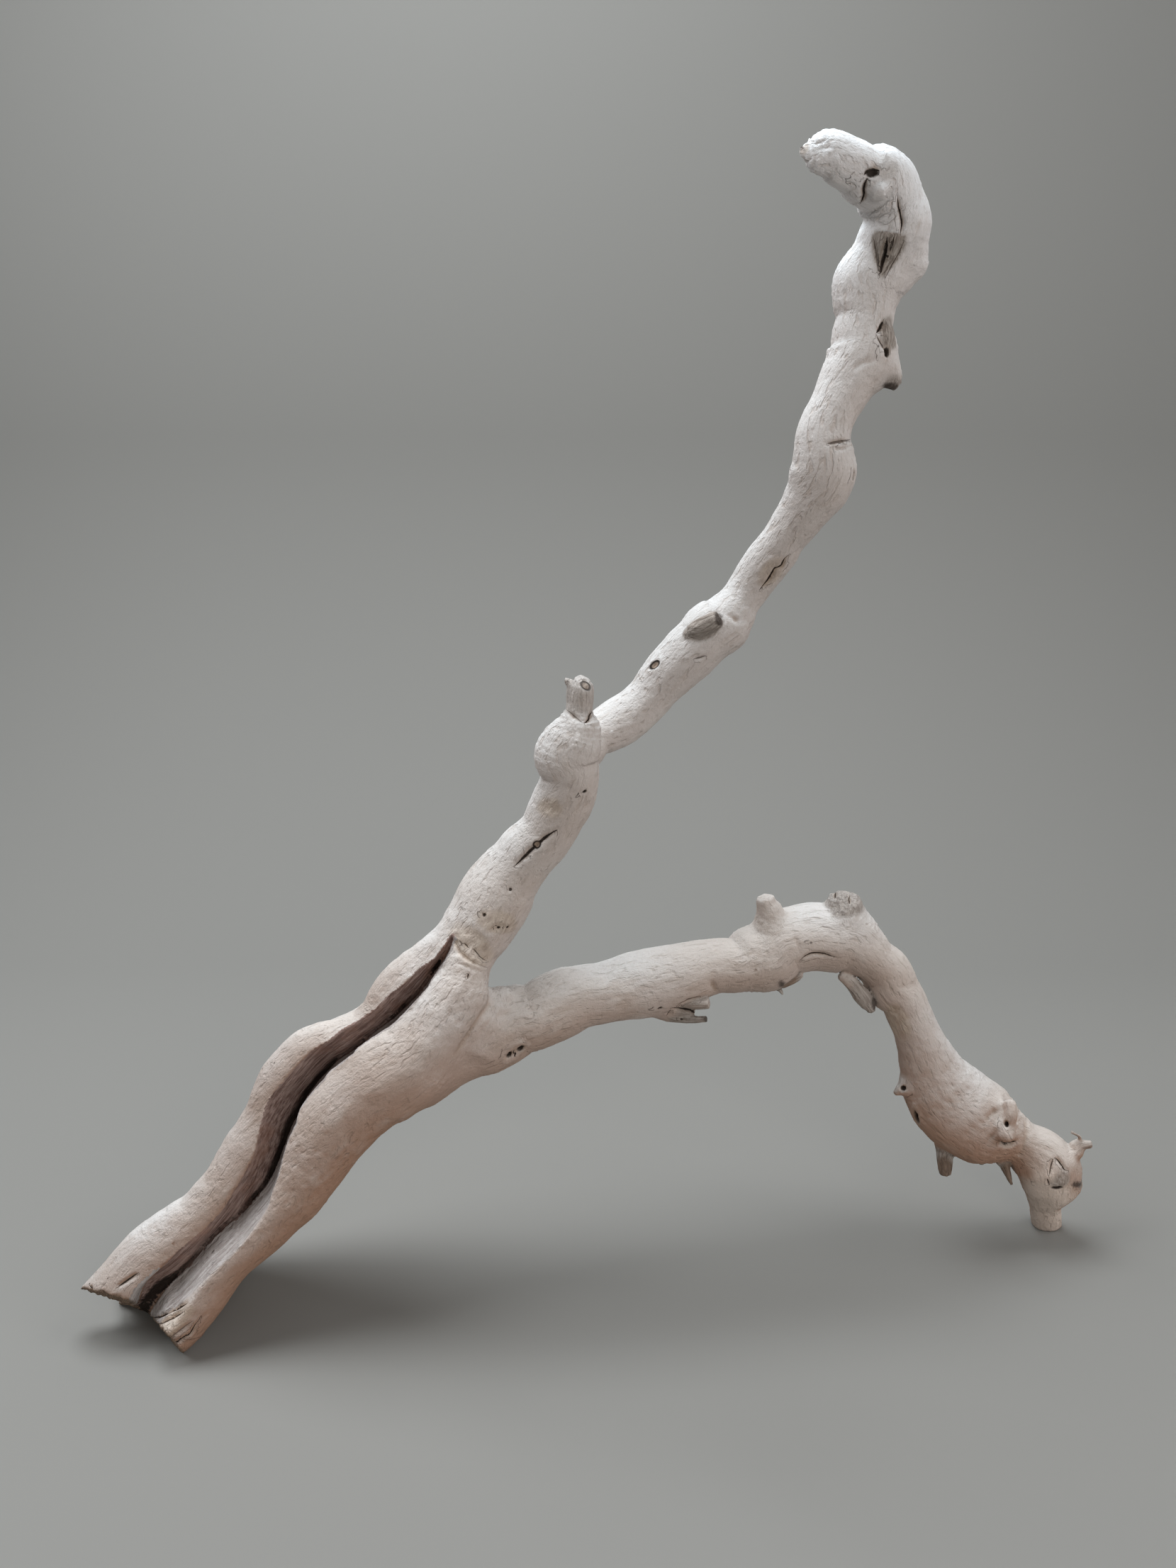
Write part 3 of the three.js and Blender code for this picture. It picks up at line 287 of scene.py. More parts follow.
# cracks and creases: points, half width in mm, depth in mm, how dark the line is painted, as shade inside the crack
CRACKS = [
    ([(163, 1818), (180, 1806), (196, 1795)], 0.5, 1.5, 0.9), ([(206, 1862), (224, 1857), (240, 1849), (264, 1838)], 0.8, 2.2, 0.9),
    ([(217, 1872), (240, 1860), (260, 1849)], 0.6, 1.5, 0.8), ([(236, 1890), (258, 1874), (274, 1862)], 0.4, 0.8, 0.4),
    ([(661, 1373), (660, 1382)], 0.5, 1.0, 0.9), ([(638, 1324), (650, 1345), (668, 1358), (690, 1366)], 0.8, 1.0, 0.15),
    ([(640, 1356), (660, 1364), (684, 1372)], 0.8, 0.7, 0.0), ([(654, 1330), (662, 1338)], 0.4, 0.8, 0.7), ([(666, 1337), (678, 1349)], 0.4, 0.8, 0.7),
    ([(647, 1326), (652, 1335)], 0.4, 0.7, 0.6), ([(672, 1346), (688, 1356)], 0.4, 0.8, 0.6),
    ([(702, 1403), (686, 1424), (668, 1450), (655, 1472), (640, 1494)], 2.6, 1.5, 0.0), ([(725, 1223), (741, 1207), (757, 1192), (769, 1182), (787, 1170)], 1.1, 1.8, 1.0),
    ([(797, 1000), (812, 1012), (824, 1021)], 0.5, 1.0, 0.35),
    ([(824, 1021), (830, 1016), (836, 1003)], 0.6, 2.0, 1.0), ([(978, 930), (988, 928), (997, 924)], 0.5, 0.9, 0.6),
    ([(1070, 834), (1085, 819), (1093, 804), (1104, 800), (1108, 789), (1115, 782)], 0.6, 2.0, 1.0),
    ([(1022, 864), (1036, 872), (1044, 882)], 1.3, 0.9, 0.0), ([(1165, 626), (1182, 623), (1201, 620)], 0.7, 1.3, 0.6), ([(1172, 632), (1190, 633), (1203, 627)], 0.8, 0.8, 0.1),
    ([(1200, 526), (1214, 512), (1240, 506)], 1.1, 0.6, 0.0), ([(1236, 470), (1243, 462), (1248, 451)], 0.8, 2.0, 1.0),
    ([(1236, 472), (1244, 484), (1250, 496)], 0.5, 1.0, 0.6), ([(1251, 334), (1247, 358), (1243, 386)], 1.3, 3.0, 1.0), ([(1263, 330), (1259, 350), (1252, 364)], 0.5, 1.2, 0.9),
    ([(1276, 338), (1270, 356), (1258, 376), (1247, 395)], 0.5, 0.9, 0.55), ([(1231, 333), (1236, 360), (1241, 393)], 0.5, 0.9, 0.6),
    ([(1267, 272), (1269, 295), (1273, 315), (1270, 333)], 0.5, 1.6, 1.0), ([(1224, 250), (1217, 268), (1219, 277), (1213, 289)], 0.8, 2.6, 1.0),
    ([(1218, 247), (1228, 242), (1242, 239)], 1.3, 3.2, 1.0), ([(1145, 204), (1158, 200), (1170, 196)], 0.8, 0.8, 0.15), ([(1150, 212), (1163, 208), (1178, 207)], 0.8, 0.7, 0.1),
    ([(947, 1422), (970, 1426), (998, 1431)], 1.0, 2.0, 1.0), ([(953, 1420), (972, 1410), (992, 1405)], 0.5, 0.9, 0.5), ([(947, 1424), (940, 1434)], 0.5, 0.8, 0.5),
    ([(1004, 1384), (1008, 1394), (1012, 1402)], 1.4, 1.2, 0.0), ([(1120, 1316), (1126, 1334), (1128, 1350)], 1.2, 0.9, 0.0),
    ([(1126, 1357), (1135, 1350), (1147, 1345), (1161, 1346), (1180, 1351)], 0.55, 1.7, 0.95), ([(1178, 1254), (1177, 1268)], 0.5, 1.0, 0.9), ([(1199, 1262), (1198, 1276)], 0.5, 1.0, 0.8),
    ([(1412, 1611), (1423, 1616), (1434, 1610)], 1.4, 3.0, 1.0), ([(1487, 1632), (1494, 1637), (1500, 1645), (1503, 1651), (1509, 1652)], 0.5, 1.5, 1.0),
    ([(1487, 1632), (1483, 1646), (1480, 1660)], 0.45, 1.0, 0.8), ([(1477, 1662), (1481, 1674)], 0.45, 1.0, 0.8), ([(1386, 1592), (1398, 1573), (1416, 1562)], 2.0, 0.9, 0.0),
    ([(1394, 1610), (1404, 1600), (1410, 1590)], 1.4, 0.7, 0.0), ([(1448, 1572), (1448, 1604), (1440, 1634)], 1.8, 1.0, 0.0),
]
# knot holes, pinholes and worm holes: place, radii in pixels, turn, depth and height of the rim in mm, how dark the
# hole is painted, as shade inside it (below 0: a dark ring round a knot, the knot's own colour)
HOLES = [
    ((719, 1489), 4.0, 5.5, 0.4, 3.0, 0.2, 1.0), ((735, 1480), 6.0, 3.8, -0.6, 3.0, 0.2, 1.0), ((727, 1485), 13.0, 6.5, -0.6, 1.0, 0.4, 0.0), ((825, 1117), 3.6, 2.4, -0.3, 1.8, 0.2, 1.0),
    ((683, 1291), 2.4, 2.8, 0, 1.4, 0.1, 0.9), ((704, 1309), 2.6, 2.0, 0, 1.6, 0.1, 1.0), ((716, 1308), 2.4, 2.0, 0, 1.4, 0.1, 1.0), ((700, 1310), 12.0, 6.0, -0.2, 0.8, 0.3, 0.0),
    ((720, 1255), 2.4, 2.4, 0, 1.2, 0.1, 0.8), ((757, 1192), 6.0, 5.4, -0.7, 0.9, 0.4, -1.0), ((923, 938), 8.5, 5.4, -0.35, 0.9, 0.5, -1.0), ((931, 1422), 3.6, 2.4, 0, 2.0, 0.2, 1.0),
    ((961, 1438), 2.2, 1.6, 0, 0.6, 0.0, 0.8), ((1274, 1535), 4.0, 3.6, 0, 2.6, 0.3, 1.0), ((1292, 1577), 5.0, 13.0, -0.4, 3.8, 0.4, 1.0), ((1420, 1586), 2.8, 4.2, 0, 2.4, 0.4, 1.0),
    ((1252, 497), 4.5, 6.5, 0, 2.6, 0.2, 1.0), ((1204, 671), 2.6, 7.0, 0.2, 2.0, 0.4, 1.0), ((1491, 1676), 8.0, 2.8, 0, 1.4, 0.1, 1.0), ((1232, 246), 9.0, 3.4, -0.2, 2.4, 0.1, 1.0),
    ((826, 967), 7.5, 6.0, 0.6, 0.5, 0.3, -0.7), ((386, 1500), 1.6, 1.6, 0, 0.4, 0.0, 0.35), ((300, 1766), 3.0, 1.6, -0.7, 0.5, 0.0, 0.5), ((1144, 1330), 2.0, 1.6, 0, 0.6, 0.0, 0.6),
]
# on the sides that the picture doesn't show: place along the limb, turn, limb, radii in mm, depth, rim
BACK_HOLES = [
    (0.22, -1.3, "lower", 4.0, 2.6, 3.6, 0.7), (0.46, -1.9, "lower", 2.4, 2.0, 2.6, 0.4), (0.72, -1.2, "lower", 3.6, 2.4, 3.0, 0.6), (0.3, -1.5, "upper_b", 3.4, 2.2, 2.8, 0.6),
    (0.55, -1.2, "upper_b", 2.2, 1.8, 2.4, 0.4), (0.8, -1.8, "upper_b", 4.0, 2.6, 3.2, 0.7), (0.5, -1.4, "upper_a", 3.0, 2.0, 2.6, 0.5), (0.35, -1.4, "trunk_back", 6.5, 4.0, 4.6, 1.0),
    (0.62, -2.2, "trunk_back", 3.0, 2.2, 3.0, 0.5), (0.2, -0.8, "trunk_back", 3.0, 2.0, 2.8, 0.4),
]
BACK_CRACKS = [
    ("trunk_back", 0.05, 0.62, -1.75, 0.16, 1.3, 4.0), ("trunk_back", 0.3, 0.78, -1.15, 0.12, 0.9, 2.4), ("trunk_back", 0.02, 0.3, -2.3, 0.1, 0.9, 2.4), ("lower", 0.3, 0.46, -1.6, 0.2, 0.8, 1.8),
    ("lower", 0.55, 0.68, -1.4, 0.2, 0.8, 1.8), ("upper_b", 0.36, 0.5, -1.7, 0.2, 0.8, 1.8), ("upper_b", 0.66, 0.78, -1.3, 0.2, 0.8, 1.8), ("upper_a", 0.3, 0.62, -1.7, 0.2, 0.8, 1.8),
    ("trunk_front", 0.02, 0.2, 0.9, 0.08, 0.7, 1.6), ("trunk_left", 0.02, 0.16, -0.6, 0.08, 0.7, 1.6),
]
# dead grey wood on the broken stubs: from where to where it sets in along the stub, and how much
DEAD = dict(twig_stub=(0.1, 0.25, 0.45), twig_fibre=(-0.2, 0.0, 0.5), dead_stub_mid=(-0.2, 0.0, 1.0), dead_stub_top=(-0.1, 0.1, 1.0), stub_brown=(-0.1, 0.1, 0.9),
            stump=(0.5, 0.62, 0.75), stub_split=(0.5, 0.75, 0.8), prong_up=(0.15, 0.35, 0.62), prong_low=(0.05, 0.2, 0.85), spur_right=(0.72, 0.95, 0.9),
            end_stub=(0.1, 0.35, 0.75), stub_dark=(0.0, 0.25, 1.0), chip=(-0.1, 0.1, 0.8), flake=(0.2, 0.4, 0.8), stub_c=(0.05, 0.25, 0.95), stub_d=(0.05, 0.25, 0.95),
            nub_low=(0.2, 0.6, 0.8), twig_a=(0.55, 0.85, 0.5), twig_b=(0.3, 0.7, 0.5), nub_end=(0.35, 0.65, 0.9), head_curl=(0.2, 0.5, 0.2), curl_a=(0.0, 0.3, 0.5), curl_b=(0.0, 0.3, 0.5))
# patches, seen in the picture: centre, radii in pixels, turn
ROUGH = [((664, 1334), 30, 20, 0.75), ((776, 1140), 14, 11, 0.3), ((1134, 208), 9, 9, 0), ((1268, 1440), 14, 24, -0.4), ((1090, 800), 34, 22, -0.9), ((1050, 868), 16, 12, -0.6)]
TAN = [((664, 1334), 36, 24, 0.75), ((776, 1140), 20, 15, 0.3), ((1132, 208), 11, 11, 0), ((1266, 1440), 16, 28, -0.4), ((1245, 1452), 12, 24, -0.4), ((240, 1868), 44, 16, -0.75),
       ((1088, 806), 26, 16, -0.9), ((700, 1300), 30, 18, 0.2)]
GREY = [((1251, 473), 9, 20, -0.15), ((1253, 342), 20, 16, 0), ((1248, 372), 9, 22, 0.15)]
BROWN = [((1331, 1652), 17, 22, 0), ((1419, 1660), 14, 24, 0.3), ((1110, 1382), 18, 12, -0.5), ((1380, 1648), 10, 8, 0)]
# painted light: the foot is paler here, as if lit, though it stands in shade under the end knob
LIGHT = [((1472, 1712), 50, 62, 0)]
CHAR = [((1014, 874), 5.5, 12, -0.35), ((1256, 545), 13, 6.5, 0.1), ((1102, 1388), 5, 6, 0.5), ((1129, 207), 4, 7, 0.5), ((1519, 1671), 7, 5, 0), ((1233, 1416), 4, 10, -0.1), ((996, 1436), 3, 7, 0)]
WRINKLED = [((850, 1400), 80, 40, -0.2), ((1060, 1350), 46, 36, 0), ((690, 1366), 26, 14, 0.3), ((1410, 1592), 36, 34, 0.7), ((760, 1440), 50, 30, -0.3), ((1225, 520), 30, 26, 0)]

# colours of the wood, linear: its own colours, and painted light and shade where marked
PALE = (0.70, 0.675, 0.655)
WARM = (0.62, 0.56, 0.515)
# painted shade: warm brown on sides and undersides that face away from the light above, less of it higher up
PAINTED_UNDERSIDE_SHADE = (0.39, 0.22, 0.145)
# painted light: paler, cooler wood higher up, standing nearer the lamps
PAINTED_LIGHT_HIGH_UP = (0.66, 0.65, 0.64)
# painted light: the head, highest of all, paler still
PAINTED_CROWN_LIGHT = (0.83, 0.86, 0.88)
# painted light on the foot
PAINTED_FOOT_LIGHT = (0.75, 0.64, 0.56)
# painted shade: darker brown on the trunk's sides that do not face up
PAINTED_TRUNK_SHADE = (0.40, 0.30, 0.25)
STREAK = (0.42, 0.315, 0.24)
# painted light: paler on the raised relief
PAINTED_RIDGE_LIGHT = (0.74, 0.70, 0.66)
# painted shade: darker in the hollows and pits of the relief
PAINTED_HOLLOW_SHADE = (0.36, 0.255, 0.185)
WALL_DARK = (0.16, 0.095, 0.078)
WALL_PALE = (0.38, 0.275, 0.24)
WALL_RED = (0.29, 0.155, 0.108)
DEAD_DARK = (0.20, 0.165, 0.14)
DEAD_PALE = (0.42, 0.37, 0.33)
KNOT = (0.30, 0.215, 0.155)
BUMP = 0.9
FLOOR_COLOUR = (0.24, 0.235, 0.22, 1.0)
WORLD_COLOUR = (1.0, 0.90, 0.82, 1.0)
WORLD_STRENGTH = 0.04
EXPOSURE = 0.0
LAMPS = [
    ("top", (-0.20, 0.25, 1.60), (0.0, 0.0, 0.28), 0.9, 18.5, (0.90, 0.955, 1.0)),
    ("left", (-1.0, -0.10, 1.30), (0.0, 0.0, 0.28), 0.9, 13.0, (0.93, 0.965, 1.0)),
    ("right", (1.0, -0.10, 1.40), (0.0, 0.0, 0.25), 0.9, 5.5, (0.97, 0.98, 1.0)),
    ("front", (0.40, -1.30, 0.80), (0.02, 0.0, 0.30), 0.9, 6.2, (1.0, 0.98, 0.95)),
    ("side", (1.2, -0.60, 0.60), (0.0, 0.0, 0.22), 0.9, 4.0, (0.98, 0.98, 1.0)),
]


# ------------------------------------------------------------------ noise
_GRAD = np.array([(1, 1, 0), (-1, 1, 0), (1, -1, 0), (-1, -1, 0), (1, 0, 1), (-1, 0, 1), (1, 0, -1), (-1, 0, -1),
                  (0, 1, 1), (0, -1, 1), (0, 1, -1), (0, -1, -1), (1, 1, 0), (-1, 1, 0), (0, -1, 1), (0, -1, -1)], np.float32)


def _hash(ix, iy, iz, seed):
    h = (ix.astype(np.uint32) * np.uint32(374761393) + iy.astype(np.uint32) * np.uint32(668265263)
         + iz.astype(np.uint32) * np.uint32(2246822519) + np.uint32((seed * 3266489917) & 0xFFFFFFFF))
    h ^= h >> np.uint32(15)
    h *= np.uint32(2246822519)
    h ^= h >> np.uint32(13)
    h *= np.uint32(3266489917)
    h ^= h >> np.uint32(16)
    return h


def noise(p, seed=0):
    """Gradient noise at the points p, about -1 to 1."""
    p = np.asarray(p, np.float32)
    i = np.floor(p)
    f = p - i
    i = i.astype(np.int64)
    u = f * f * f * (f * (f * 6 - 15) + 10)
    out = np.zeros(len(p), np.float32)
    for dx in (0, 1):
        wx = u[:, 0] if dx else 1 - u[:, 0]
        for dy in (0, 1):
            wy = u[:, 1] if dy else 1 - u[:, 1]
            for dz in (0, 1):
                wz = u[:, 2] if dz else 1 - u[:, 2]
                g = _GRAD[_hash(i[:, 0] + dx, i[:, 1] + dy, i[:, 2] + dz, seed) & np.uint32(15)]
                out += wx * wy * wz * (g[:, 0] * (f[:, 0] - dx) + g[:, 1] * (f[:, 1] - dy) + g[:, 2] * (f[:, 2] - dz))
    return out


def cells(p, seed=0):
    """Distance to the nearest and the second nearest of scattered points, one to a unit cell."""
    p = np.asarray(p, np.float32)
    i = np.floor(p).astype(np.int64)
    f = p - i
    d1 = np.full(len(p), 9.0, np.float32)
    d2 = d1.copy()
    for dx in (-1, 0, 1):
        for dy in (-1, 0, 1):
            for dz in (-1, 0, 1):
                h = _hash(i[:, 0] + dx, i[:, 1] + dy, i[:, 2] + dz, seed)
                q = np.stack([(h & np.uint32(1023)) / 1023.0, ((h >> np.uint32(10)) & np.uint32(1023)) / 1023.0,
                              ((h >> np.uint32(20)) & np.uint32(1023)) / 1023.0], 1).astype(np.float32)
                d = np.sqrt(((q + (dx, dy, dz) - f) ** 2).sum(1))
                d2 = np.minimum(d2, np.maximum(d1, d))
                d1 = np.minimum(d1, d)
    return d1, d2


def smooth(x, lo, hi):
    t = np.clip((x - lo) / (hi - lo), 0, 1)
    return t * t * (3 - 2 * t)


# ------------------------------------------------------------------ limbs
def unit(v):
    return v / np.maximum(np.linalg.norm(v, axis=-1, keepdims=True), 1e-9)


def spline(p, step):
    """A centripetal curve through the rows of p, at even steps along its length. The first three columns are the place."""
    p = np.asarray(p, float)
    t = np.r_[0, np.cumsum(np.sqrt(np.maximum(np.linalg.norm(np.diff(p[:, :3], axis=0), axis=1), 1e-6)))]
    m = np.zeros_like(p)
    for i in range(len(p)):
        if i == 0:
            m[i] = (p[1] - p[0]) / (t[1] - t[0])
        elif i == len(p) - 1:
            m[i] = (p[i] - p[i - 1]) / (t[i] - t[i - 1])
        else:
            m[i] = ((p[i + 1] - p[i]) / (t[i + 1] - t[i]) - (p[i + 1] - p[i - 1]) / (t[i + 1] - t[i - 1])
                    + (p[i] - p[i - 1]) / (t[i] - t[i - 1]))
    m[:, 3:] *= 0.5
    q = []
    for i in range(len(p) - 1):
        h = t[i + 1] - t[i]
        x = np.linspace(0, 1, 24, endpoint=False)[:, None]
        q.append((2 * x ** 3 - 3 * x ** 2 + 1) * p[i] + (x ** 3 - 2 * x ** 2 + x) * h * m[i]
                 + (3 * x ** 2 - 2 * x ** 3) * p[i + 1] + (x ** 3 - x ** 2) * h * m[i + 1])
    q = np.concatenate(q + [p[-1:]])
    s = np.r_[0, np.cumsum(np.linalg.norm(np.diff(q[:, :3], axis=0), axis=1))]
    at = np.linspace(0, s[-1], max(3, int(round(s[-1] / step)) + 1))
    return np.stack([np.interp(at, s, q[:, k]) for k in range(p.shape[1])], 1), at


class Limb:
    def __init__(self, name, rows, step=2.0, cap=0.6, start=0.0):
        q, self.S = spline(rows, step)
        self.name, self.C = name, q[:, :3]
        self.W, self.D = np.maximum(q[:, 3], 0.8), np.maximum(q[:, 4], 0.8)
        self.S = self.S + start
        self.T = unit(np.gradient(self.C, axis=0))
        self.E2 = unit(FRONT - (self.T @ FRONT)[:, None] * self.T)
        self.E1 = np.cross(self.T, self.E2)
        self.cap = cap
        self.lo = (self.C - np.maximum(self.W, self.D)[:, None]).min(0)
        self.hi = (self.C + np.maximum(self.W, self.D)[:, None]).max(0)
        self.R = np.maximum(self.W, self.D)

    def widen(self, much):
        """Wider on its right side only, by 'much' at each place along it."""
        self.C = self.C + self.E1 * (much / 2)[:, None]
        self.W = self.W + much / 2
        self.R = np.maximum(self.W, self.D)
        self.lo, self.hi = (self.C - self.R[:, None]).min(0), (self.C + self.R[:, None]).max(0)

    def at(self, P, sel=slice(None)):
        """(distance, place along, across, towards the front) of each point."""
        C = self.C[sel]
        d2 = (C ** 2).sum(1)[None] - 2 * (P @ C.T)
        i = d2.argmin(1)
        n = np.arange(len(self.C))[sel][i]
        q = P - self.C[n]
        ax = (q * self.T[n]).sum(1)
        a = (q * self.E1[n]).sum(1)
        b = (q * self.E2[n]).sum(1)
        w, d = self.W[n], self.D[n]
        over = np.where(n == 0, np.maximum(-ax, 0), 0) + np.where(n == len(self.C) - 1, np.maximum(ax, 0), 0)
        k = np.sqrt((a / w) ** 2 + (b / d) ** 2 + (over / (self.cap * w)) ** 2)
        r = np.sqrt(a * a + b * b + over * over)
        dist = np.where(k > 1e-4, r - r / np.maximum(k, 1e-4), -np.minimum(w, d))
        return dist, self.S[n] + np.clip(ax, -2, 2), a, b


def smin(a, b, k):
    h = np.maximum(k - np.abs(a - b), 0) / k
    return np.minimum(a, b) - h * h * k * 0.25


GROUP = {k: Limb(k, v) for k, v in LIMBS.items()}
GROUP.update({k: Limb(k, v, 1.5, STUB_CAP.get(k, 0.35)) for k, v in STUBS.items()})
left_lobe = GROUP["trunk_left"]
left_lobe.widen(8.0 * (1 - smooth(left_lobe.S, left_lobe.S[-1] - 45, left_lobe.S[-1] - 12)))
REST = [k for k in GROUP if not k.startswith("trunk")]
BLEND = dict(trunk_left=5.0, trunk_back=12.0, lower=12.0, upper_a=9.0, upper_b=3.0, head=14.0, foot=16.0, crotch=10.0,
             shoulder=6.0, bulge_right=8.0, nub_fork=5.0, twig_stub=1.0, twig_fibre=1.0, dead_stub_mid=0.5, dead_stub_top=0.5, stub_split=3.0,
             prong_up=0.8, prong_low=0.8, spur_right=4.0, end_stub=0.8, head_curl=0.7, curl_a=0.8, curl_b=0.8, stub_brown=0.6, stump=4.0,
             stub_white=2.5, stub_dark=0.8, chip=0.8, flake=1.2, nub_left=5.0, eye_lip=8.0, eye_stub=5.0, nub_end=2.0, nub_low=2.0)
LIFT = 0.2  # the grain stands this far out of the smooth wood, so the wood starts that much smaller
cut_at = [(np.array(p, float), unit(np.array(n, float))) for p, n in CUTS]


def end_faces(P):
    """Above 0 outside the trunk's two broken end faces, which are ragged."""
    jag = 0.9 * noise(P / 2.4, 61) + 0.7 * noise(P / 6.0, 62)
    g = [((P - p) @ n) for p, n in cut_at]
    return np.minimum(g[0] + jag, g[1] + 0.45 * jag)


class Split:
    """The long split down the trunk: a wall that runs back from the left lip, and a scooped face on its right."""

    def __init__(self, rows):
        q, self.S = spline(rows, 2.0)  # left lip, then its apex and its right lip as offsets across and to the front
        self.C, self.ap, self.rt = q[:, :3], q[:, 3:5], q[:, 5:7]
        core = GROUP["trunk_core"]
        i = ((self.C[:, None] - core.C[None]) ** 2).sum(2).argmin(1)
        self.T = unit(np.gradient(self.C, axis=0))
        f = core.E2[i]
        self.E2 = unit(f - (f * self.T).sum(1)[:, None] * self.T)
        self.E1 = np.cross(self.T, self.E2)

    def at(self, P):
        """(left wall, below 0 where it cuts away; scoop, the same; across and to the front of the lip; depth of the crack)"""
        i = ((self.C ** 2).sum(1)[None] - 2 * (P @ self.C.T)).argmin(1)
        q = P - self.C[i]
        a, b = (q * self.E1[i]).sum(1), (q * self.E2[i]).sum(1)
        over = np.where(i == len(self.C) - 1, (q * self.T[i]).sum(1), -9)
        A, R = self.ap[i], self.rt[i]
        n1 = np.stack([A[:, 1], -A[:, 0]], 1)  # square to the left wall, pointing away from the gap
        n1 /= np.maximum(np.linalg.norm(n1, axis=1, keepdims=True), 1e-6)
        v = R - A
        n2 = np.stack([v[:, 1], -v[:, 0]], 1)
        n2 /= np.maximum(np.linalg.norm(n2, axis=1, keepdims=True), 1e-6)
        left = a * n1[:, 0] + b * n1[:, 1]
        wall = np.maximum(np.maximum(left, -a), np.maximum(over, -(b - A[:, 1] + 2.0)))
        right = (a - A[:, 0]) * n2[:, 0] + (b - A[:, 1]) * n2[:, 1]
        sag = np.clip(np.linalg.norm(v, axis=1) - 3, 0, 14) * 0.16  # the scoop is hollow, more so where it is wide
        t = ((a - A[:, 0]) * v[:, 0] + (b - A[:, 1]) * v[:, 1]) / np.maximum((v * v).sum(1), 1e-6)
        scoop = np.maximum(np.maximum(wall, right - sag * np.clip(4 * t * (1 - t), 0, 1)), over)
        return wall, scoop, left, a, b, A[:, 1], t


SPLIT = None


def near(L, lo, hi, reach):
    if (L.lo - reach > hi).any() or (L.hi + reach < lo).any():
        return None
    c, r = (lo + hi) / 2, np.linalg.norm(hi - lo) / 2
    d = np.linalg.norm(L.C - c, axis=1) - r - L.R
    if d.min() > reach:
        return None
    # samples that may be the nearest to some point of the box
    e = np.linalg.norm(L.C - c, axis=1)
    k = np.flatnonzero(e <= e.min() + 2 * r + 3)
    return slice(k[0], k[-1] + 1)


def field(P, lo=None, hi=None, split=True):
    lo, hi = (P.min(0), P.max(0)) if lo is None else (lo, hi)
    f = np.full(len(P), 40.0)
    for k in ("trunk_core", "trunk_back", "trunk_left"):
        s = near(GROUP[k], lo, hi, 14)
        if s is not None:
            f = smin(f, GROUP[k].at(P, s)[0], BLEND.get(k, 4.0))
    s = near(GROUP["trunk_front"], lo, hi, 14)
    g = GROUP["trunk_front"].at(P, s)[0] if s is not None else np.full(len(P), 40.0)
    if split and SPLIT is not None and min(f.min(), g.min()) < 20:
        wall, scoop, _, a, b, *_ = SPLIT.at(P)
        f, g = np.maximum(f, -wall), np.maximum(g, -scoop)
        k = 1.2 + 9.0 * smooth(np.sqrt(a * a + b * b), 16, 34)
        f = smin(f, g, k)
    else:
        f = smin(f, g, 6.0)
    if f.min() < 20:
        f = np.maximum(f, end_faces(P))
    for k in REST:
        s = near(GROUP[k], lo, hi, 14)
        if s is not None:
            f = smin(f, GROUP[k].at(P, s)[0], BLEND.get(k, 2.0))
    return np.maximum(f + LIFT, -P[:, 2])


# ------------------------------------------------------------------ the camera's rays
cam = np.array(CAMERA, float)
c_fwd = np.array([0, math.cos(PITCH), -math.sin(PITCH)])
c_up = np.array([0, math.sin(PITCH), math.cos(PITCH)])


def rays(px):
    px = np.asarray(px, float).reshape(-1, 2)
    d = (np.array([1.0, 0, 0])[None] * ((px[:, 0] - IMAGE[0] / 2) / FOCAL_PX)[:, None]
         - c_up[None] * ((px[:, 1] - IMAGE[1] / 2) / FOCAL_PX)[:, None] + c_fwd[None])
    return unit(d)


def pixels(P):
    q = P - cam
    z = q @ c_fwd
    return np.stack([IMAGE[0] / 2 + FOCAL_PX * q[:, 0] / z, IMAGE[1] / 2 - FOCAL_PX * (q @ c_up) / z], 1)


def march(px, f):
    """Where the rays through these pixels first meet the field f. A ray that passes by keeps its closest point."""
    d = rays(px)
    t = np.full(len(d), 420.0)
    best, bt = np.full(len(d), 1e9), t.copy()
    for _ in range(260):
        v = f(cam + d * t[:, None])
        c = v < best
        best[c], bt[c] = v[c], t[c]
        t = np.where(v > 0.05, np.minimum(t + np.clip(v * 0.7, 0.1, 8), 900), t)
        if (v <= 0.05).all():
            break
    return cam + d * bt[:, None], best


# the split: left lip, deepest line and right lip, all read in the picture, on the trunk's own surface
lips = np.array(SPLIT_PX, float)  # left u, v, deep u, v, right u, v, depth
core = GROUP["trunk_core"]
bare = lambda P: field(P, split=False)
def eased(p):
    """The same lines of sight, with the distances smoothed along the line."""
    d = p - cam
    r = np.linalg.norm(d, axis=1)
    for _ in range(6):
        r = np.r_[r[0], (r[:-2] + 2 * r[1:-1] + r[2:]) / 4, r[-1]]
    return cam + unit(d) * r[:, None]


left_p = eased(march(lips[:, 0:2], bare)[0])
deep_p = eased(march(lips[:, 2:4], bare)[0])
right_p = eased(march(lips[:, 4:6], bare)[0])
tip = unit(np.gradient(left_p, axis=0))
ic = ((left_p[:, None] - core.C[None]) ** 2).sum(2).argmin(1)
e2 = unit(core.E2[ic] - (core.E2[ic] * tip).sum(1)[:, None] * tip)
e1 = np.cross(tip, e2)
two = lambda q: np.stack([(q * e1).sum(1), (q * e2).sum(1)], 1)
apex = left_p + unit(deep_p - cam) * lips[:, 6:7] + (unit(deep_p - cam) - unit(left_p - cam)) * np.linalg.norm(left_p - cam, axis=1)[:, None]
rows = np.concatenate([left_p, two(apex - left_p), two(right_p + e2 * 0.3 - left_p)], 1)
SPLIT = Split(rows)
lap("limbs and split ready")

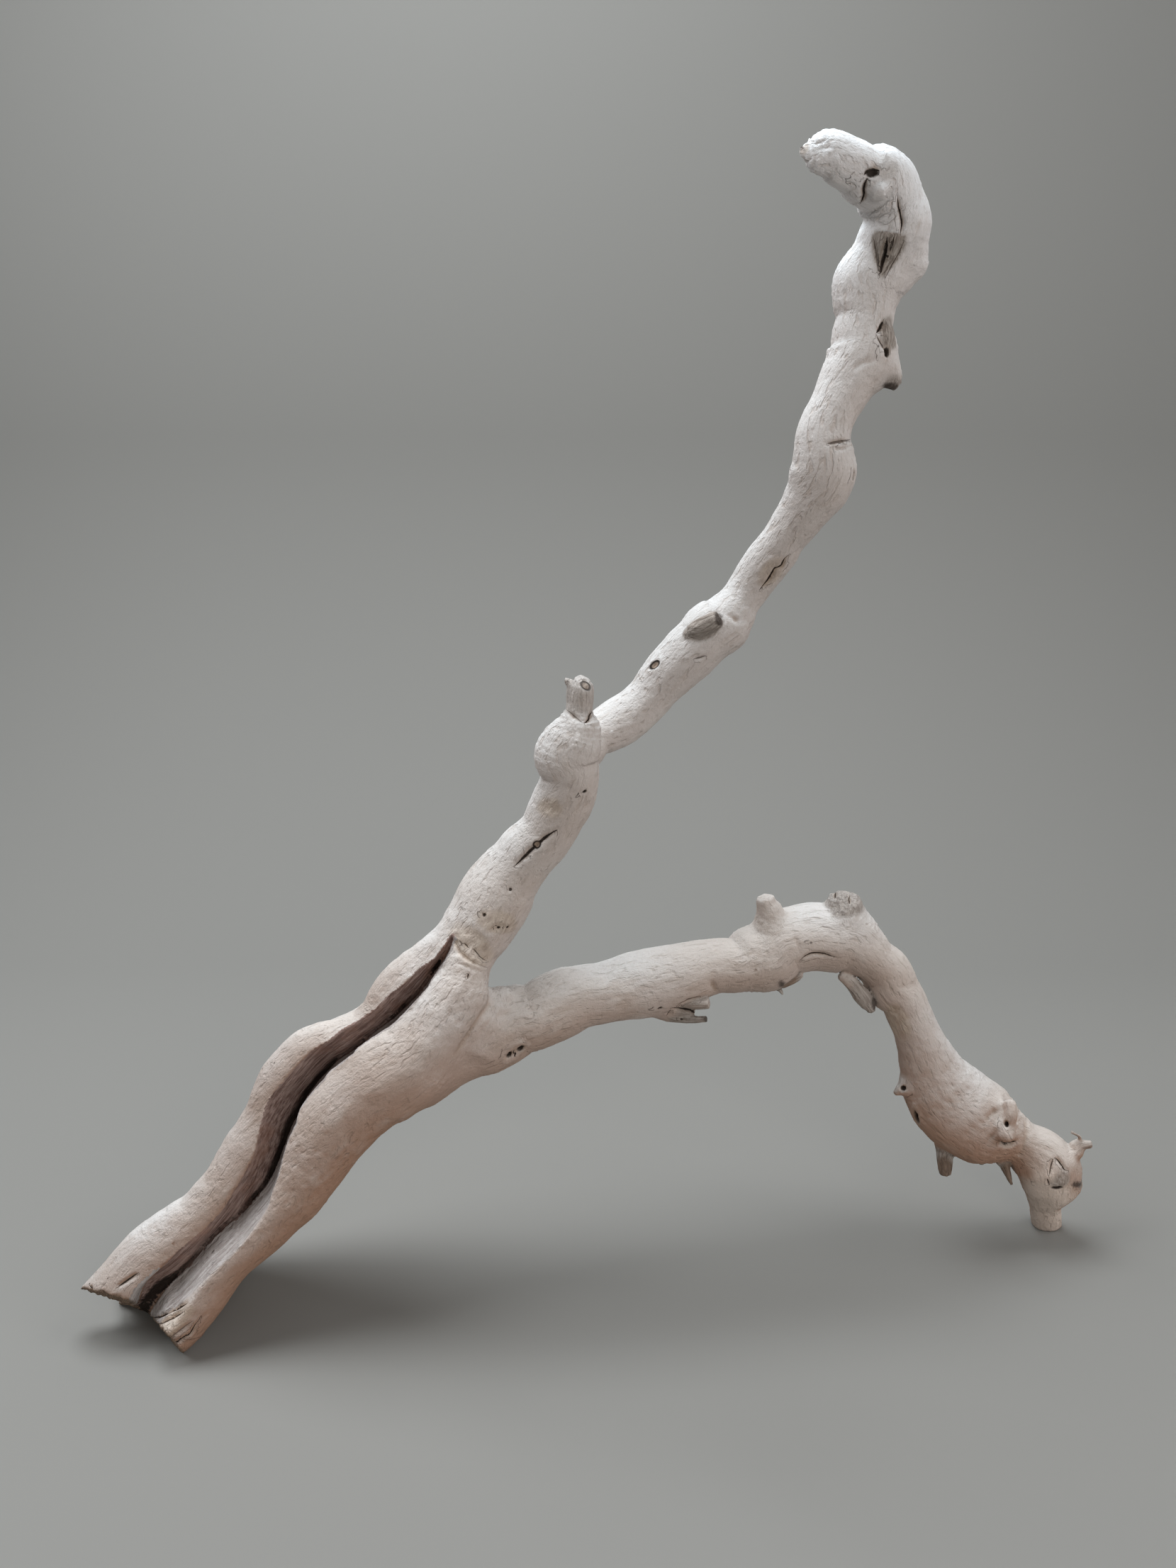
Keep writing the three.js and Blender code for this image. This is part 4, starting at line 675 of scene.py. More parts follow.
# ------------------------------------------------------------------ the field on a grid, only near the surface
g_lo = np.array([-282.0, -78.0, -3.0])
g_n = np.array([566, 158, 590])
B = 10
grid = np.full(g_n + 1, 10.0, np.float32)
nb = (g_n + B - 1) // B
bc = np.stack(np.meshgrid(*[np.arange(n) for n in nb], indexing="ij"), -1).reshape(-1, 3)
mid = g_lo + (bc + 0.5) * B * VOXEL
coarse = np.full(len(mid), 40.0)
for k, L in GROUP.items():
    ok = ((mid > L.lo - 30) & (mid < L.hi + 30)).all(1)
    if ok.any():
        coarse[ok] = np.minimum(coarse[ok], L.at(mid[ok])[0])
todo = bc[(coarse < 15) & (coarse > -26)]
off = np.stack(np.meshgrid(*[np.arange(B + 1)] * 3, indexing="ij"), -1).reshape(-1, 3) * VOXEL
for bx in bc[coarse <= -26]:
    a, z = bx * B, np.minimum(bx * B + B + 1, g_n + 1)
    grid[a[0]:z[0], a[1]:z[1], a[2]:z[2]] = -10
probe = field(mid[(coarse < 15) & (coarse > -26)][:1])
for bx in todo:
    a = bx * B
    lo = g_lo + a * VOXEL
    f = field(lo + off, lo, lo + B * VOXEL).reshape((B + 1,) * 3)
    z = np.minimum(a + B + 1, g_n + 1)
    grid[a[0]:z[0], a[1]:z[1], a[2]:z[2]] = f[:z[0] - a[0], :z[1] - a[1], :z[2] - a[2]]
lap(f"field on {len(todo)} blocks")


def sample(P, g=None):
    g = grid if g is None else g
    q = (P - g_lo) / VOXEL
    i = np.clip(np.floor(q).astype(int), 0, g_n - 1)
    f = np.clip(q - i, 0, 1)
    out = 0
    for dx in (0, 1):
        for dy in (0, 1):
            for dz in (0, 1):
                w = (f[:, 0] if dx else 1 - f[:, 0]) * (f[:, 1] if dy else 1 - f[:, 1]) * (f[:, 2] if dz else 1 - f[:, 2])
                out = out + w * g[i[:, 0] + dx, i[:, 1] + dy, i[:, 2] + dz]
    return out


def slope(P, h=1.2):
    return unit(np.stack([sample(P + e) - sample(P - e) for e in np.eye(3) * h], 1))


# ------------------------------------------------------------------ the grid's surface as quads
inside = grid < 0
count = np.zeros(g_n, np.uint8)
for dx in (0, 1):
    for dy in (0, 1):
        for dz in (0, 1):
            count += inside[dx:g_n[0] + dx, dy:g_n[1] + dy, dz:g_n[2] + dz]
cell = np.flatnonzero((count > 0) & (count < 8))
ci = np.stack(np.unravel_index(cell, g_n), 1)
acc, num = np.zeros((len(ci), 3)), np.zeros(len(ci))
for axis in range(3):
    o1, o2 = [k for k in range(3) if k != axis]
    for u in (0, 1):
        for w in (0, 1):
            p = ci.copy()
            p[:, o1] += u
            p[:, o2] += w
            q = p.copy()
            q[:, axis] += 1
            va, vb = grid[tuple(p.T)], grid[tuple(q.T)]
            hit = (va < 0) != (vb < 0)
            t = np.where(hit, va / np.where(hit, va - vb, 1), 0)
            pos = p.astype(float)
            pos[:, axis] += t
            acc[hit] += pos[hit]
            num[hit] += 1
verts = g_lo + acc / num[:, None] * VOXEL
quads = []
for axis in range(3):
    o1, o2 = (axis + 1) % 3, (axis + 2) % 3
    sl_a, sl_b = [slice(0, n + 1) for n in g_n], [slice(0, n + 1) for n in g_n]
    sl_a[axis], sl_b[axis] = slice(0, g_n[axis]), slice(1, g_n[axis] + 1)
    ia, ib = inside[tuple(sl_a)], inside[tuple(sl_b)]
    e = np.argwhere(ia != ib)
    ok = (e[:, o1] > 0) & (e[:, o2] > 0) & (e[:, o1] < g_n[o1]) & (e[:, o2] < g_n[o2])
    e = e[ok]
    out = ia[tuple(e.T)]
    ids = []
    for u, w in ((-1, -1), (0, -1), (0, 0), (-1, 0)):
        c = e.copy()
        c[:, o1] += u
        c[:, o2] += w
        ids.append(np.searchsorted(cell, np.ravel_multi_index(tuple(c.T), g_n)))
    q = np.stack(ids, 1)
    q[~out] = q[~out][:, ::-1]
    quads.append(q)
quads = np.concatenate(quads)
del inside, count
lap(f"{len(verts)} points, {len(quads)} quads")

# keep the one largest body
pairs = np.concatenate([quads[:, [0, 1]], quads[:, [1, 2]], quads[:, [2, 3]]])
label = np.arange(len(verts))
for _ in range(200):
    m = np.minimum(label[pairs[:, 0]], label[pairs[:, 1]])
    new = label.copy()
    np.minimum.at(new, pairs[:, 0], m)
    np.minimum.at(new, pairs[:, 1], m)
    new = new[new]
    if (new == label).all():
        break
    label = new
main = np.bincount(label).argmax()
keep = label == main
renum = np.cumsum(keep) - 1
quads = renum[quads[keep[quads].all(1)]]
verts = verts[keep]

# ------------------------------------------------------------------ weathering
GRAIN_OF = dict(trunk_front="trunk_core", trunk_left="trunk_core", trunk_back="trunk_core")


def grain_sets(P, reach=7.0):
    """For each limb near the points: (name, which points, weight, place along, across, front)."""
    best = np.full(len(P), 1e9)
    found = []
    for k, L in GROUP.items():
        sel = np.flatnonzero(((P > L.lo - reach) & (P < L.hi + reach)).all(1))
        if not len(sel):
            continue
        parts = [L.at(P[c]) for c in np.array_split(sel, max(1, len(sel) // 20000))]
        d, s, a, b = (np.concatenate(x) for x in zip(*parts))
        ok = d < reach
        sel, d, s, a, b = sel[ok], d[ok], s[ok], a[ok], b[ok]
        if k in GRAIN_OF and len(sel):
            G = GROUP[GRAIN_OF[k]]
            parts = [G.at(P[c]) for c in np.array_split(sel, max(1, len(sel) // 20000))]
            _, s, a, b = (np.concatenate(x) for x in zip(*parts))
        best[sel] = np.minimum(best[sel], d)
        found.append((k, sel, d, s, a, b))
    total = np.zeros(len(P))
    for k, sel, d, *_ in found:
        total[sel] += np.exp(-(d - best[sel]) / 1.2)
    return [(k, sel, np.exp(-(d - best[sel]) / 1.2) / total[sel], s, a, b) for k, sel, d, s, a, b in found]


def polyline(px, step=2.5):
    px = np.asarray(px, float)
    s = np.r_[0, np.cumsum(np.linalg.norm(np.diff(px, axis=0), axis=1))]
    at = np.linspace(0, s[-1], max(2, int(s[-1] / step) + 1))
    return np.stack([np.interp(at, s, px[:, k]) for k in (0, 1)], 1), at / s[-1]


def surface_points(px):
    p, d = march(px, sample)
    return p, d < 1.5


def seg_dist(P, A, N):
    """Distance from the points to a polyline on the surface, how far along it from 0 to 1, and on which side, -1 or 1."""
    best, at, side = np.full(len(P), 1e9), np.zeros(len(P)), np.ones(len(P))
    flat = best.copy()
    n = len(A) - 1
    for i in range(n):
        v = A[i + 1] - A[i]
        t = np.clip(((P - A[i]) @ v) / max(v @ v, 1e-9), 0, 1)
        d = np.linalg.norm(P - A[i] - t[:, None] * v, axis=1)
        c = d < best
        best[c], at[c] = d[c], (i + t[c]) / n
        w = P[c] - A[i] - t[c, None] * v
        up = w @ N[i]
        flat[c] = np.where(np.abs(up) < 4, np.linalg.norm(w - up[:, None] * N[i], axis=1), d[c])
        side[c] = np.where(np.cross(v, P[c] - A[i]) @ N[i] < 0, -1, 1)
    return flat, at, side


def near_points(P, A, reach):
    lo, hi = A.min(0) - reach, A.max(0) + reach
    return np.flatnonzero(((P > lo) & (P < hi)).all(1))


CRACK_LINES, HOLE_SPOTS = [], []
for px, wide, deep, black in CRACKS:
    line, _ = polyline(px)
    A, ok = surface_points(line)
    if ok.sum() > 1:
        CRACK_LINES.append((A[ok], slope(A[ok]), wide, deep, black))
for (u, v), rx, ry, turn, deep, ring, black in HOLES:
    A, ok = surface_points([(u, v)])
    if ok[0]:
        n = slope(A)[0]
        r = rays([(u, v)])[0]
        mm = np.linalg.norm(A[0] - cam) / FOCAL_PX
        x = np.array([1.0, 0, 0])
        x = unit(x - (x @ n) * n)
        y = np.cross(n, x)
        if y @ c_up > 0:
            y = -y
        c, s = math.cos(turn), math.sin(turn)
        HOLE_SPOTS.append((A[0], n, c * x + s * y, -s * x + c * y, rx * mm, ry * mm, deep, ring, black))
for along, turn, limb_name, rx, ry, deep, ring in BACK_HOLES:
    L = GROUP[limb_name]
    i = int(along * (len(L.C) - 1))
    o = math.cos(turn) * L.E1[i] + math.sin(turn) * L.E2[i]
    p = L.C[i] + o * (L.R[i] + 4)
    for _ in range(60):
        d = sample(p[None])[0]
        if d < 0.05:
            break
        p = p - o * max(0.15, d * 0.6)
    n = slope(p[None])[0]
    x = unit(L.T[i] - (L.T[i] @ n) * n)
    HOLE_SPOTS.append((p, n, x, np.cross(n, x), rx, ry, deep, ring, 1.0))
for limb_name, a0, a1, turn, wave, wide, deep in BACK_CRACKS:
    L = GROUP[limb_name]
    ii = np.linspace(a0, a1, 40) * (len(L.C) - 1)
    A = []
    for j, x in enumerate(ii):
        i = int(x)
        th = turn + wave * math.sin(j * 0.33) + 0.35 * wave * math.sin(j * 0.91 + 1)
        o = math.cos(th) * L.E1[i] + math.sin(th) * L.E2[i]
        p = L.C[i] + o * (L.R[i] + 4)
        for _ in range(60):
            d = sample(p[None])[0]
            if d < 0.05:
                break
            p = p - o * max(0.15, d * 0.6)
        A.append(p)
    A = np.array(A)
    CRACK_LINES.append((A, slope(A), wide, deep, 1.0))
lap(f"{len(CRACK_LINES)} cracks, {len(HOLE_SPOTS)} holes placed")


def crack_depth(P):
    """How deep the cracks and holes cut at these points, and what the material reads to draw their dark lines."""
    cut = np.zeros(len(P))
    slit, slit_on = np.full(len(P), 6.0), np.zeros(len(P))
    pore = np.tile(np.array([4.0, 0.0, 0.0]), (len(P), 1))
    for A, N, wide, deep, black in CRACK_LINES:
        sel = near_points(P, A, wide * 4 + 4)
        if not len(sel):
            continue
        d, t, side = seg_dist(P[sel], A, N)
        jag = 1 + 0.4 * noise(P[sel] / 3.0, 71)
        taper = np.clip(np.minimum(t, 1 - t) * 3 + 0.12, 0, 1)
        x = d / (wide * taper * jag)
        cut[sel] = np.maximum(cut[sel], deep * taper * np.exp(-(d / np.maximum(wide * jag, 0.9)) ** 2))
        x = np.clip(x * side, -6, 6)
        if not black:
            continue
        c = np.abs(x) < np.abs(slit[sel])
        slit[sel[c]] = x[c]
        on = np.where((t > 0.001) & (t < 0.999) & (d < 2.6), black, 0)
        slit_on[sel[c]] = on[c]
    for p, n, x, y, rx, ry, deep, ring, black in HOLE_SPOTS:
        r = max(rx, ry) * 3.6 + 2
        sel = np.flatnonzero((np.abs(P - p) < r).all(1))
        if not len(sel):
            continue
        q = P[sel] - p
        px, py = (q @ x) / rx, (q @ y) / ry
        k = np.sqrt(px * px + py * py)
        ok = np.abs(q @ n) < max(rx, ry) * 1.2 + 3
        kk = k * (1 + 0.18 * noise(P[sel] / 2.2, 72))
        cut[sel] = np.maximum(cut[sel], np.where(ok, deep * (1 - smooth(kk, 0.3, 1.2)), 0))
        cut[sel] -= np.where(ok, ring * np.exp(-((kk - 1.5) / 0.4) ** 2), 0)
        c = ok & (black != 0) & (k < 3.6) & (k < np.hypot(pore[sel, 0], pore[sel, 1]))
        pore[sel[c]] = np.stack([px[c], py[c], np.full(c.sum(), black)], 1)
    return cut, slit, slit_on, pore


def in_patch(P, patches):
    """How much each point lies in any of the patches: (pixel centre, radii in pixels, turn), on the side that faces the camera."""
    out = np.zeros(len(P))
    uv = pixels(P)
    facing = smooth(-(slope(P) * unit(P - cam)).sum(1), -0.05, 0.25)
    for (u, v), rx, ry, turn in patches:
        c, s = math.cos(turn), math.sin(turn)
        du, dv = uv[:, 0] - u, uv[:, 1] - v
        k = np.sqrt(((c * du + s * dv) / rx) ** 2 + ((-s * du + c * dv) / ry) ** 2)
        k = k * (1 + 0.22 * noise(P / 7.0, 73))
        out = np.maximum(out, (1 - smooth(k, 0.7, 1.15)) * facing)
    return out


def split_parts(P):
    """(mm inside the dark wall's edge, mm inside the bare scooped band's edge, how near the crack): below 0 on the skin."""
    inner, pale, crack = np.full(len(P), -6.0), np.full(len(P), -6.0), np.zeros(len(P))
    sel = near_points(P, SPLIT.C, 40)
    wall, scoop, left, a, b, deep, t = SPLIT.at(P[sel])
    on = (np.abs(left) < 1.6) & (a > -1.0) & (wall < 1.6) & (b > deep - 3)
    inner[sel] = np.where(on & (b < 0.3), -b, np.where(wall < 4, -np.abs(left), -6))
    band = (np.abs(scoop) < 1.3) & (left < -1.0) & (t < 1.6)
    pale[sel] = np.where(band, (1 - t) * 8, np.where(np.abs(scoop) < 4, -1.5, -6))
    # how near the split's deepest line, which is painted dark as shade where its walls meet
    crack[sel] = np.where(on | band, smooth(-b, 0.86 * -deep, 1.02 * -deep), 0)
    return inner, pale, crack


def dead_wood(P):
    out = np.zeros(len(P))
    for k, (a0, a1, much) in DEAD.items():
        L = GROUP[k]
        sel = np.flatnonzero(((P > L.lo - 4) & (P < L.hi + 4)).all(1))
        if not len(sel):
            continue
        d, s, a, b = L.at(P[sel])
        t = (s - L.S[0]) / (L.S[-1] - L.S[0])
        out[sel] = np.maximum(out[sel], much * (1 - smooth(d, 0.4, 2.4)) * smooth(t, a0, a1))
    return out


def relief(P):
    """How far the weathered surface stands out of the smooth one."""
    out = np.zeros(len(P))
    dead, rough = dead_wood(P), in_patch(P, ROUGH)
    inner, pale, _ = split_parts(P)
    sharp = np.maximum(smooth(inner, -1.6, -0.2), smooth(pale, -1.6, -0.4))
    cut = smooth(end_faces(P), -1.6, -0.5) * (P[:, 0] < -170)
    wrinkle = in_patch(P, WRINKLED)
    for k, sel, w, s, a, b in grain_sets(P):
        big = min(1.3, GROUP[k].R.mean() / 15.0)
        sh = hash_name(GRAIN_OF.get(k, k)) % 97
        q = np.stack([s, a, b], 1)
        q = q + np.stack([0 * s, noise(q / 26 + sh, 5), noise(q / 26 + sh, 6)], 1) * 2.0
        lump = noise(q / (34, 17, 17) + sh, 1) * 0.5 * big + noise(q / (14, 9, 9) + sh, 11) * 0.3
        flute = noise(q / (40, 5.0, 5.0) + sh, 2) * 0.16
        c1, c2 = cells(q / (6.5, 4.0, 4.0) + sh, 3)
        pits = -0.3 * (1 - smooth(c1, 0.08, 0.5)) * smooth(noise(q / (26, 18, 18) + sh, 10), -0.35, 0.25)
        fine = noise(q / (4.6, 2.6, 2.6) + sh, 9)
        dimple = noise(q / (7.5, 4.2, 4.2) + sh, 22)
        v = lump + flute + pits + 0.11 * fine + 0.13 * dimple
        v = v + wrinkle[sel] * (0.34 * noise(q / (6.5, 3.4, 3.4) + sh, 14) + 0.25 * noise(q / (11, 7, 7) + sh, 15))
        v = v + rough[sel] * (0.65 * noise(q / (4.2, 3.0, 3.0) + sh, 16) - 0.2)
        gone = dead[sel]
        v = v * (1 - 0.75 * gone) + gone * (0.36 * noise(q / (22, 2.4, 2.4) + sh, 17) + 0.22 * noise(q / (6, 2.2, 2.2) + sh, 18))
        edge = sharp[sel]
        v = v * (1 - edge) + edge * (0.22 * noise(q / (34, 2.6, 2.6) + sh, 19) + 0.14 * noise(q / (16, 1.6, 1.6) + sh, 20))
        end = cut[sel]
        v = v * (1 - end) + end * (0.5 * noise(P[sel] / 2.2, 21))
        out[sel] += w * v
    return out


def hash_name(k):
    h = 7
    for c in k:
        h = (h * 131 + ord(c)) % 99991
    return h


moved = relief(verts)
lap("grain and lumps")
cut_in = crack_depth(verts)[0]
normal = slope(verts)
out = verts + normal * (moved - cut_in)[:, None]
out[:, 2] = np.maximum(out[:, 2], np.where(verts[:, 2] < 0.6, 0.0, -1.0))
out[:, 2] = np.maximum(out[:, 2], 0.0)
lap("cracks and holes")

# ------------------------------------------------------------------ the mesh
me = bpy.data.meshes.new("grown_wood")
me.vertices.add(len(out))
me.vertices.foreach_set("co", (out / 1000).astype(np.float32).ravel())
me.loops.add(len(quads) * 4)
me.loops.foreach_set("vertex_index", quads.astype(np.int32).ravel())
me.polygons.add(len(quads))
me.polygons.foreach_set("loop_start", np.arange(0, len(quads) * 4, 4, dtype=np.int32))
me.update(calc_edges=True)
wood = bpy.data.objects.new("vine_wood", me)
bpy.context.scene.collection.objects.link(wood)
thin = wood.modifiers.new("thin", "DECIMATE")
thin.ratio = min(1.0, TRIANGLES / (2 * len(quads)))
dg = bpy.context.evaluated_depsgraph_get()
done = bpy.data.meshes.new_from_object(wood.evaluated_get(dg))
wood.modifiers.clear()
wood.data = done
bpy.data.meshes.remove(me)
me = done
me.name = "vine_wood"
me.calc_loop_triangles()
lap(f"thinned to {len(me.loop_triangles)} triangles")

co = np.empty(len(me.vertices) * 3, np.float32)
me.vertices.foreach_get("co", co)
P = co.reshape(-1, 3).astype(float) * 1000
me.polygons.foreach_set("use_smooth", np.ones(len(me.polygons), bool))

# ------------------------------------------------------------------ what the material reads: grain direction, cracks, dead wood
# the grain runs along each limb. Every face reads one limb only, so no face is stretched between two.
names = sorted(GROUP)
own, top = np.zeros(len(P), int), np.zeros(len(P))
for k, sel, w, s, a, b in grain_sets(P, 9.0):
    c = w > top[sel]
    top[sel[c]] = w[c]
    own[sel[c]] = names.index(GRAIN_OF.get(k, k))
corner = np.empty(len(me.loops), np.int32)
me.loops.foreach_get("vertex_index", corner)
first, count = np.empty(len(me.polygons), np.int32), np.empty(len(me.polygons), np.int32)
me.polygons.foreach_get("loop_start", first)
me.polygons.foreach_get("loop_total", count)
face_own = np.repeat(own[corner[first]], count)
G = np.zeros((len(corner), 3))
for i, k in enumerate(names):
    sel = np.flatnonzero(face_own == i)
    if not len(sel):
        continue
    used, back = np.unique(corner[sel], return_inverse=True)
    parts = [GROUP[k].at(P[c]) for c in np.array_split(used, max(1, len(used) // 20000))]
    _, s, a, b = (np.concatenate(x) for x in zip(*parts))
    G[sel] = np.stack([s + hash_name(k) % 700, a, b], 1)[back.ravel()]
_, slit, slit_on, pore = crack_depth(P)
depth = sample(P)  # how far the point lies out of the smooth wood
inner, pale, crack = split_parts(P)
dead, rough = dead_wood(P), in_patch(P, ROUGH)
tan = in_patch(P, TAN)
char = in_patch(P, CHAR)
brown = in_patch(P, BROWN)
# where the foot's painted light goes
light = in_patch(P, LIGHT)
dead = np.maximum(dead, in_patch(P, GREY))
nv = np.empty(len(P) * 3, np.float32)
me.vertex_normals.foreach_get("vector", nv)
nv = nv.reshape(-1, 3)
end = smooth(end_faces(P), -1.4, -0.3) * (P[:, 0] < -170)


def attribute(name, values, kind="FLOAT", where="POINT"):
    at = me.attributes.new(name, kind, where)
    at.data.foreach_set("vector" if kind == "FLOAT_VECTOR" else "value", np.ascontiguousarray(values, np.float32).ravel())


attribute("grain", G / 1000, "FLOAT_VECTOR", "CORNER")
attribute("slit", slit)
attribute("slit_on", slit_on)
attribute("pore", pore, "FLOAT_VECTOR")
# the normal's upward part, which drives the painted shade on sides and undersides
attribute("under", nv[:, 2])
attribute("crack", crack)
attribute("end", end)
# how far the point stands out of the smooth wood, for the painted light on ridges and the painted shade in hollows
attribute("height", np.clip(depth / 1.6, -1, 1))
attribute("inner", inner)
attribute("pale", pale)
attribute("dead", dead)
attribute("rough", rough)
attribute("tan", tan)
attribute("char", char)
attribute("brown", brown)
attribute("light", light)
lap("attributes")

# ------------------------------------------------------------------ the wood's material
mat = bpy.data.materials.new("sandblasted_vine")
mat.use_nodes = True
nt = mat.node_tree
nt.nodes.clear()


def node(kind, **sets):
    n = nt.nodes.new(kind)
    for k, v in sets.items():
        setattr(n, k, v)
    return n


def link(a, b):
    nt.links.new(a, b)


def read(name, vector=False):
    return node("ShaderNodeAttribute", attribute_name=name, attribute_type="GEOMETRY").outputs["Vector" if vector else "Fac"]


def maths(op, a, b=0.5, clamp=False):
    n = node("ShaderNodeMath", operation=op, use_clamp=clamp)
    for i, x in enumerate((a, b)):
        if hasattr(x, "is_linked"):
            link(x, n.inputs[i])
        else:
            n.inputs[i].default_value = x
    return n.outputs[0]


def ramp(x, lo, hi, a=0.0, b=1.0):
    n = node("ShaderNodeMapRange", interpolation_type="SMOOTHSTEP")
    link(x, n.inputs["Value"])
    for k, v in (("From Min", lo), ("From Max", hi), ("To Min", a), ("To Max", b)):
        n.inputs[k].default_value = v
    return n.outputs["Result"]


def mix(f, a, b, blend="MIX"):
    n = node("ShaderNodeMix", data_type="RGBA", blend_type=blend)
    for s, x in ((n.inputs[0], f), (n.inputs[6], a), (n.inputs[7], b)):
        if hasattr(x, "is_linked"):
            link(x, s)
        elif isinstance(x, (tuple, list)):
            s.default_value = (*x, 1.0)
        else:
            s.default_value = x
    return n.outputs[2]


def scaled(v, x, y, z):
    n = node("ShaderNodeVectorMath", operation="MULTIPLY")
    link(v, n.inputs[0])
    n.inputs[1].default_value = (x, y, z)
    return n.outputs[0]


def clouds(v, scale=1.0, detail=3.0, rough=0.55, distort=0.0):
    n = node("ShaderNodeTexNoise")
    link(v, n.inputs["Vector"])
    n.inputs["Scale"].default_value = scale
    n.inputs["Detail"].default_value = detail
    n.inputs["Roughness"].default_value = rough
    n.inputs["Distortion"].default_value = distort
    return n.outputs["Fac"]


def spots(v, feature="F1", randomness=1.0):
    n = node("ShaderNodeTexVoronoi", feature=feature)
    link(v, n.inputs["Vector"])
    n.inputs["Scale"].default_value = 1.0
    n.inputs["Randomness"].default_value = randomness
    return n.outputs["Distance"]


grain = read("grain", True)
place = node("ShaderNodeTexCoord").outputs["Object"]
height = read("height")
broad = clouds(place, 14.0, 2.0, 0.5)
streak = clouds(scaled(grain, 50.0, 420.0, 420.0), 1.0, 4.0, 0.6, 0.2)
fibre = clouds(scaled(grain, 120.0, 1500.0, 1500.0), 1.0, 3.0, 0.6)
speck = clouds(place, 1100.0, 2.0, 0.6)
pits = clouds(scaled(grain, 150.0, 400.0, 400.0), 1.0, 2.0, 0.5, 0.4)
pit_here = ramp(clouds(place, 38.0, 2.0, 0.5), 0.34, 0.62, 0.35, 1.0)
pit = maths("MULTIPLY", ramp(pits, 0.47, 0.30), pit_here)

colour = mix(ramp(broad, 0.38, 0.62), PALE, WARM)
up = node("ShaderNodeSeparateXYZ")
link(place, up.inputs[0])
high = ramp(up.outputs[2], 0.12, 0.40)
trunk = ramp(up.outputs[0], -0.06, -0.13)
fade = maths("ADD", maths("MULTIPLY", high, trunk), maths("MULTIPLY", ramp(up.outputs[2], 0.05, 0.24), maths("SUBTRACT", 1.0, trunk)))
# painted light: the wood turns paler and cooler with height
colour = mix(maths("MULTIPLY", high, 0.9), colour, PAINTED_LIGHT_HIGH_UP)
# painted shade: the trunk's sides that do not face up turn darker brown
colour = mix(maths("MULTIPLY", maths("MULTIPLY", trunk, ramp(read("under"), 0.95, 0.55)), 0.35), colour, PAINTED_TRUNK_SHADE)
# painted light: paler and cooler on the head at the very top
colour = mix(ramp(up.outputs[2], 0.49, 0.555), colour, PAINTED_CROWN_LIGHT)
# painted shade: sides and undersides turn warm brown the less they face up, less so higher up
colour = mix(maths("MULTIPLY", ramp(read("under"), 0.85, -0.40, 0.0, 0.95), maths("SUBTRACT", 1.0, maths("MULTIPLY", fade, 0.64))), colour, PAINTED_UNDERSIDE_SHADE)
# painted light: the foot's patch turns pale, standing in for light that falls on it
colour = mix(maths("MULTIPLY", read("light"), 0.8), colour, PAINTED_FOOT_LIGHT)
colour = mix(maths("MULTIPLY", ramp(streak, 0.5, 0.75), 0.16), colour, STREAK)
# painted light: raised relief turns paler
colour = mix(maths("MULTIPLY", ramp(height, 0.05, 0.5), 0.3), colour, PAINTED_RIDGE_LIGHT)
# painted shade in the hollows of the relief
colour = mix(maths("MULTIPLY", ramp(height, -0.15, -0.8), 0.5), colour, PAINTED_HOLLOW_SHADE)
# painted shade in the fine pits, more of it higher up
colour = mix(maths("MULTIPLY", pit, maths("ADD", 0.15, maths("MULTIPLY", high, 0.15))), colour, PAINTED_HOLLOW_SHADE)
colour = mix(maths("MULTIPLY", ramp(speck, 0.56, 0.74), 0.22), colour, STREAK)
tan_wood = mix(ramp(streak, 0.38, 0.62), (0.34, 0.235, 0.155), (0.55, 0.44, 0.33))
colour = mix(maths("MULTIPLY", read("tan"), 0.45), colour, tan_wood)
dead_c = mix(ramp(clouds(scaled(grain, 110.0, 800.0, 800.0), 1.0, 4.0, 0.65), 0.36, 0.66), DEAD_DARK, DEAD_PALE)
colour = mix(read("dead"), colour, dead_c)
brown_c = mix(ramp(streak, 0.35, 0.65), (0.12, 0.075, 0.05), (0.27, 0.185, 0.135))
colour = mix(maths("MULTIPLY", read("brown"), maths("MULTIPLY", read("dead"), 0.9)), colour, brown_c)
pale_c = mix(ramp(clouds(scaled(grain, 40.0, 700.0, 700.0), 1.0, 4.0, 0.6), 0.35, 0.68), (0.33, 0.285, 0.265), (0.52, 0.475, 0.455))
colour = mix(ramp(read("pale"), -0.6, 0.4), colour, pale_c)
wall_n = clouds(scaled(grain, 36.0, 620.0, 620.0), 1.0, 5.0, 0.65)
wall_b = clouds(place, 45.0, 3.0, 0.6)
wall_c = mix(ramp(wall_n, 0.36, 0.66), WALL_DARK, WALL_PALE)
wall_c = mix(maths("MULTIPLY", ramp(wall_b, 0.5, 0.7), 0.55), wall_c, WALL_RED)
colour = mix(ramp(read("inner"), -0.5, 0.3), colour, wall_c)
end_c = mix(ramp(speck, 0.4, 0.6), (0.10, 0.07, 0.048), (0.26, 0.19, 0.135))
colour = mix(maths("MULTIPLY", read("end"), 0.85), colour, end_c)
slit_d = maths("ABSOLUTE", read("slit"))
line = maths("MULTIPLY", ramp(slit_d, 0.85, 0.30), read("slit_on"))
rim = node("ShaderNodeSeparateXYZ")
link(read("pore", True), rim.inputs[0])
flat = node("ShaderNodeCombineXYZ")
link(rim.outputs[0], flat.inputs[0])
link(rim.outputs[1], flat.inputs[1])
far = node("ShaderNodeVectorMath", operation="LENGTH")
link(flat.outputs[0], far.inputs[0])
open_ = maths("MAXIMUM", rim.outputs[2], 0.0)
knot = maths("MAXIMUM", maths("MULTIPLY", rim.outputs[2], -1.0), 0.0)
ring = maths("MULTIPLY", ramp(far.outputs["Value"], 0.55, 0.85), ramp(far.outputs["Value"], 1.15, 0.9))
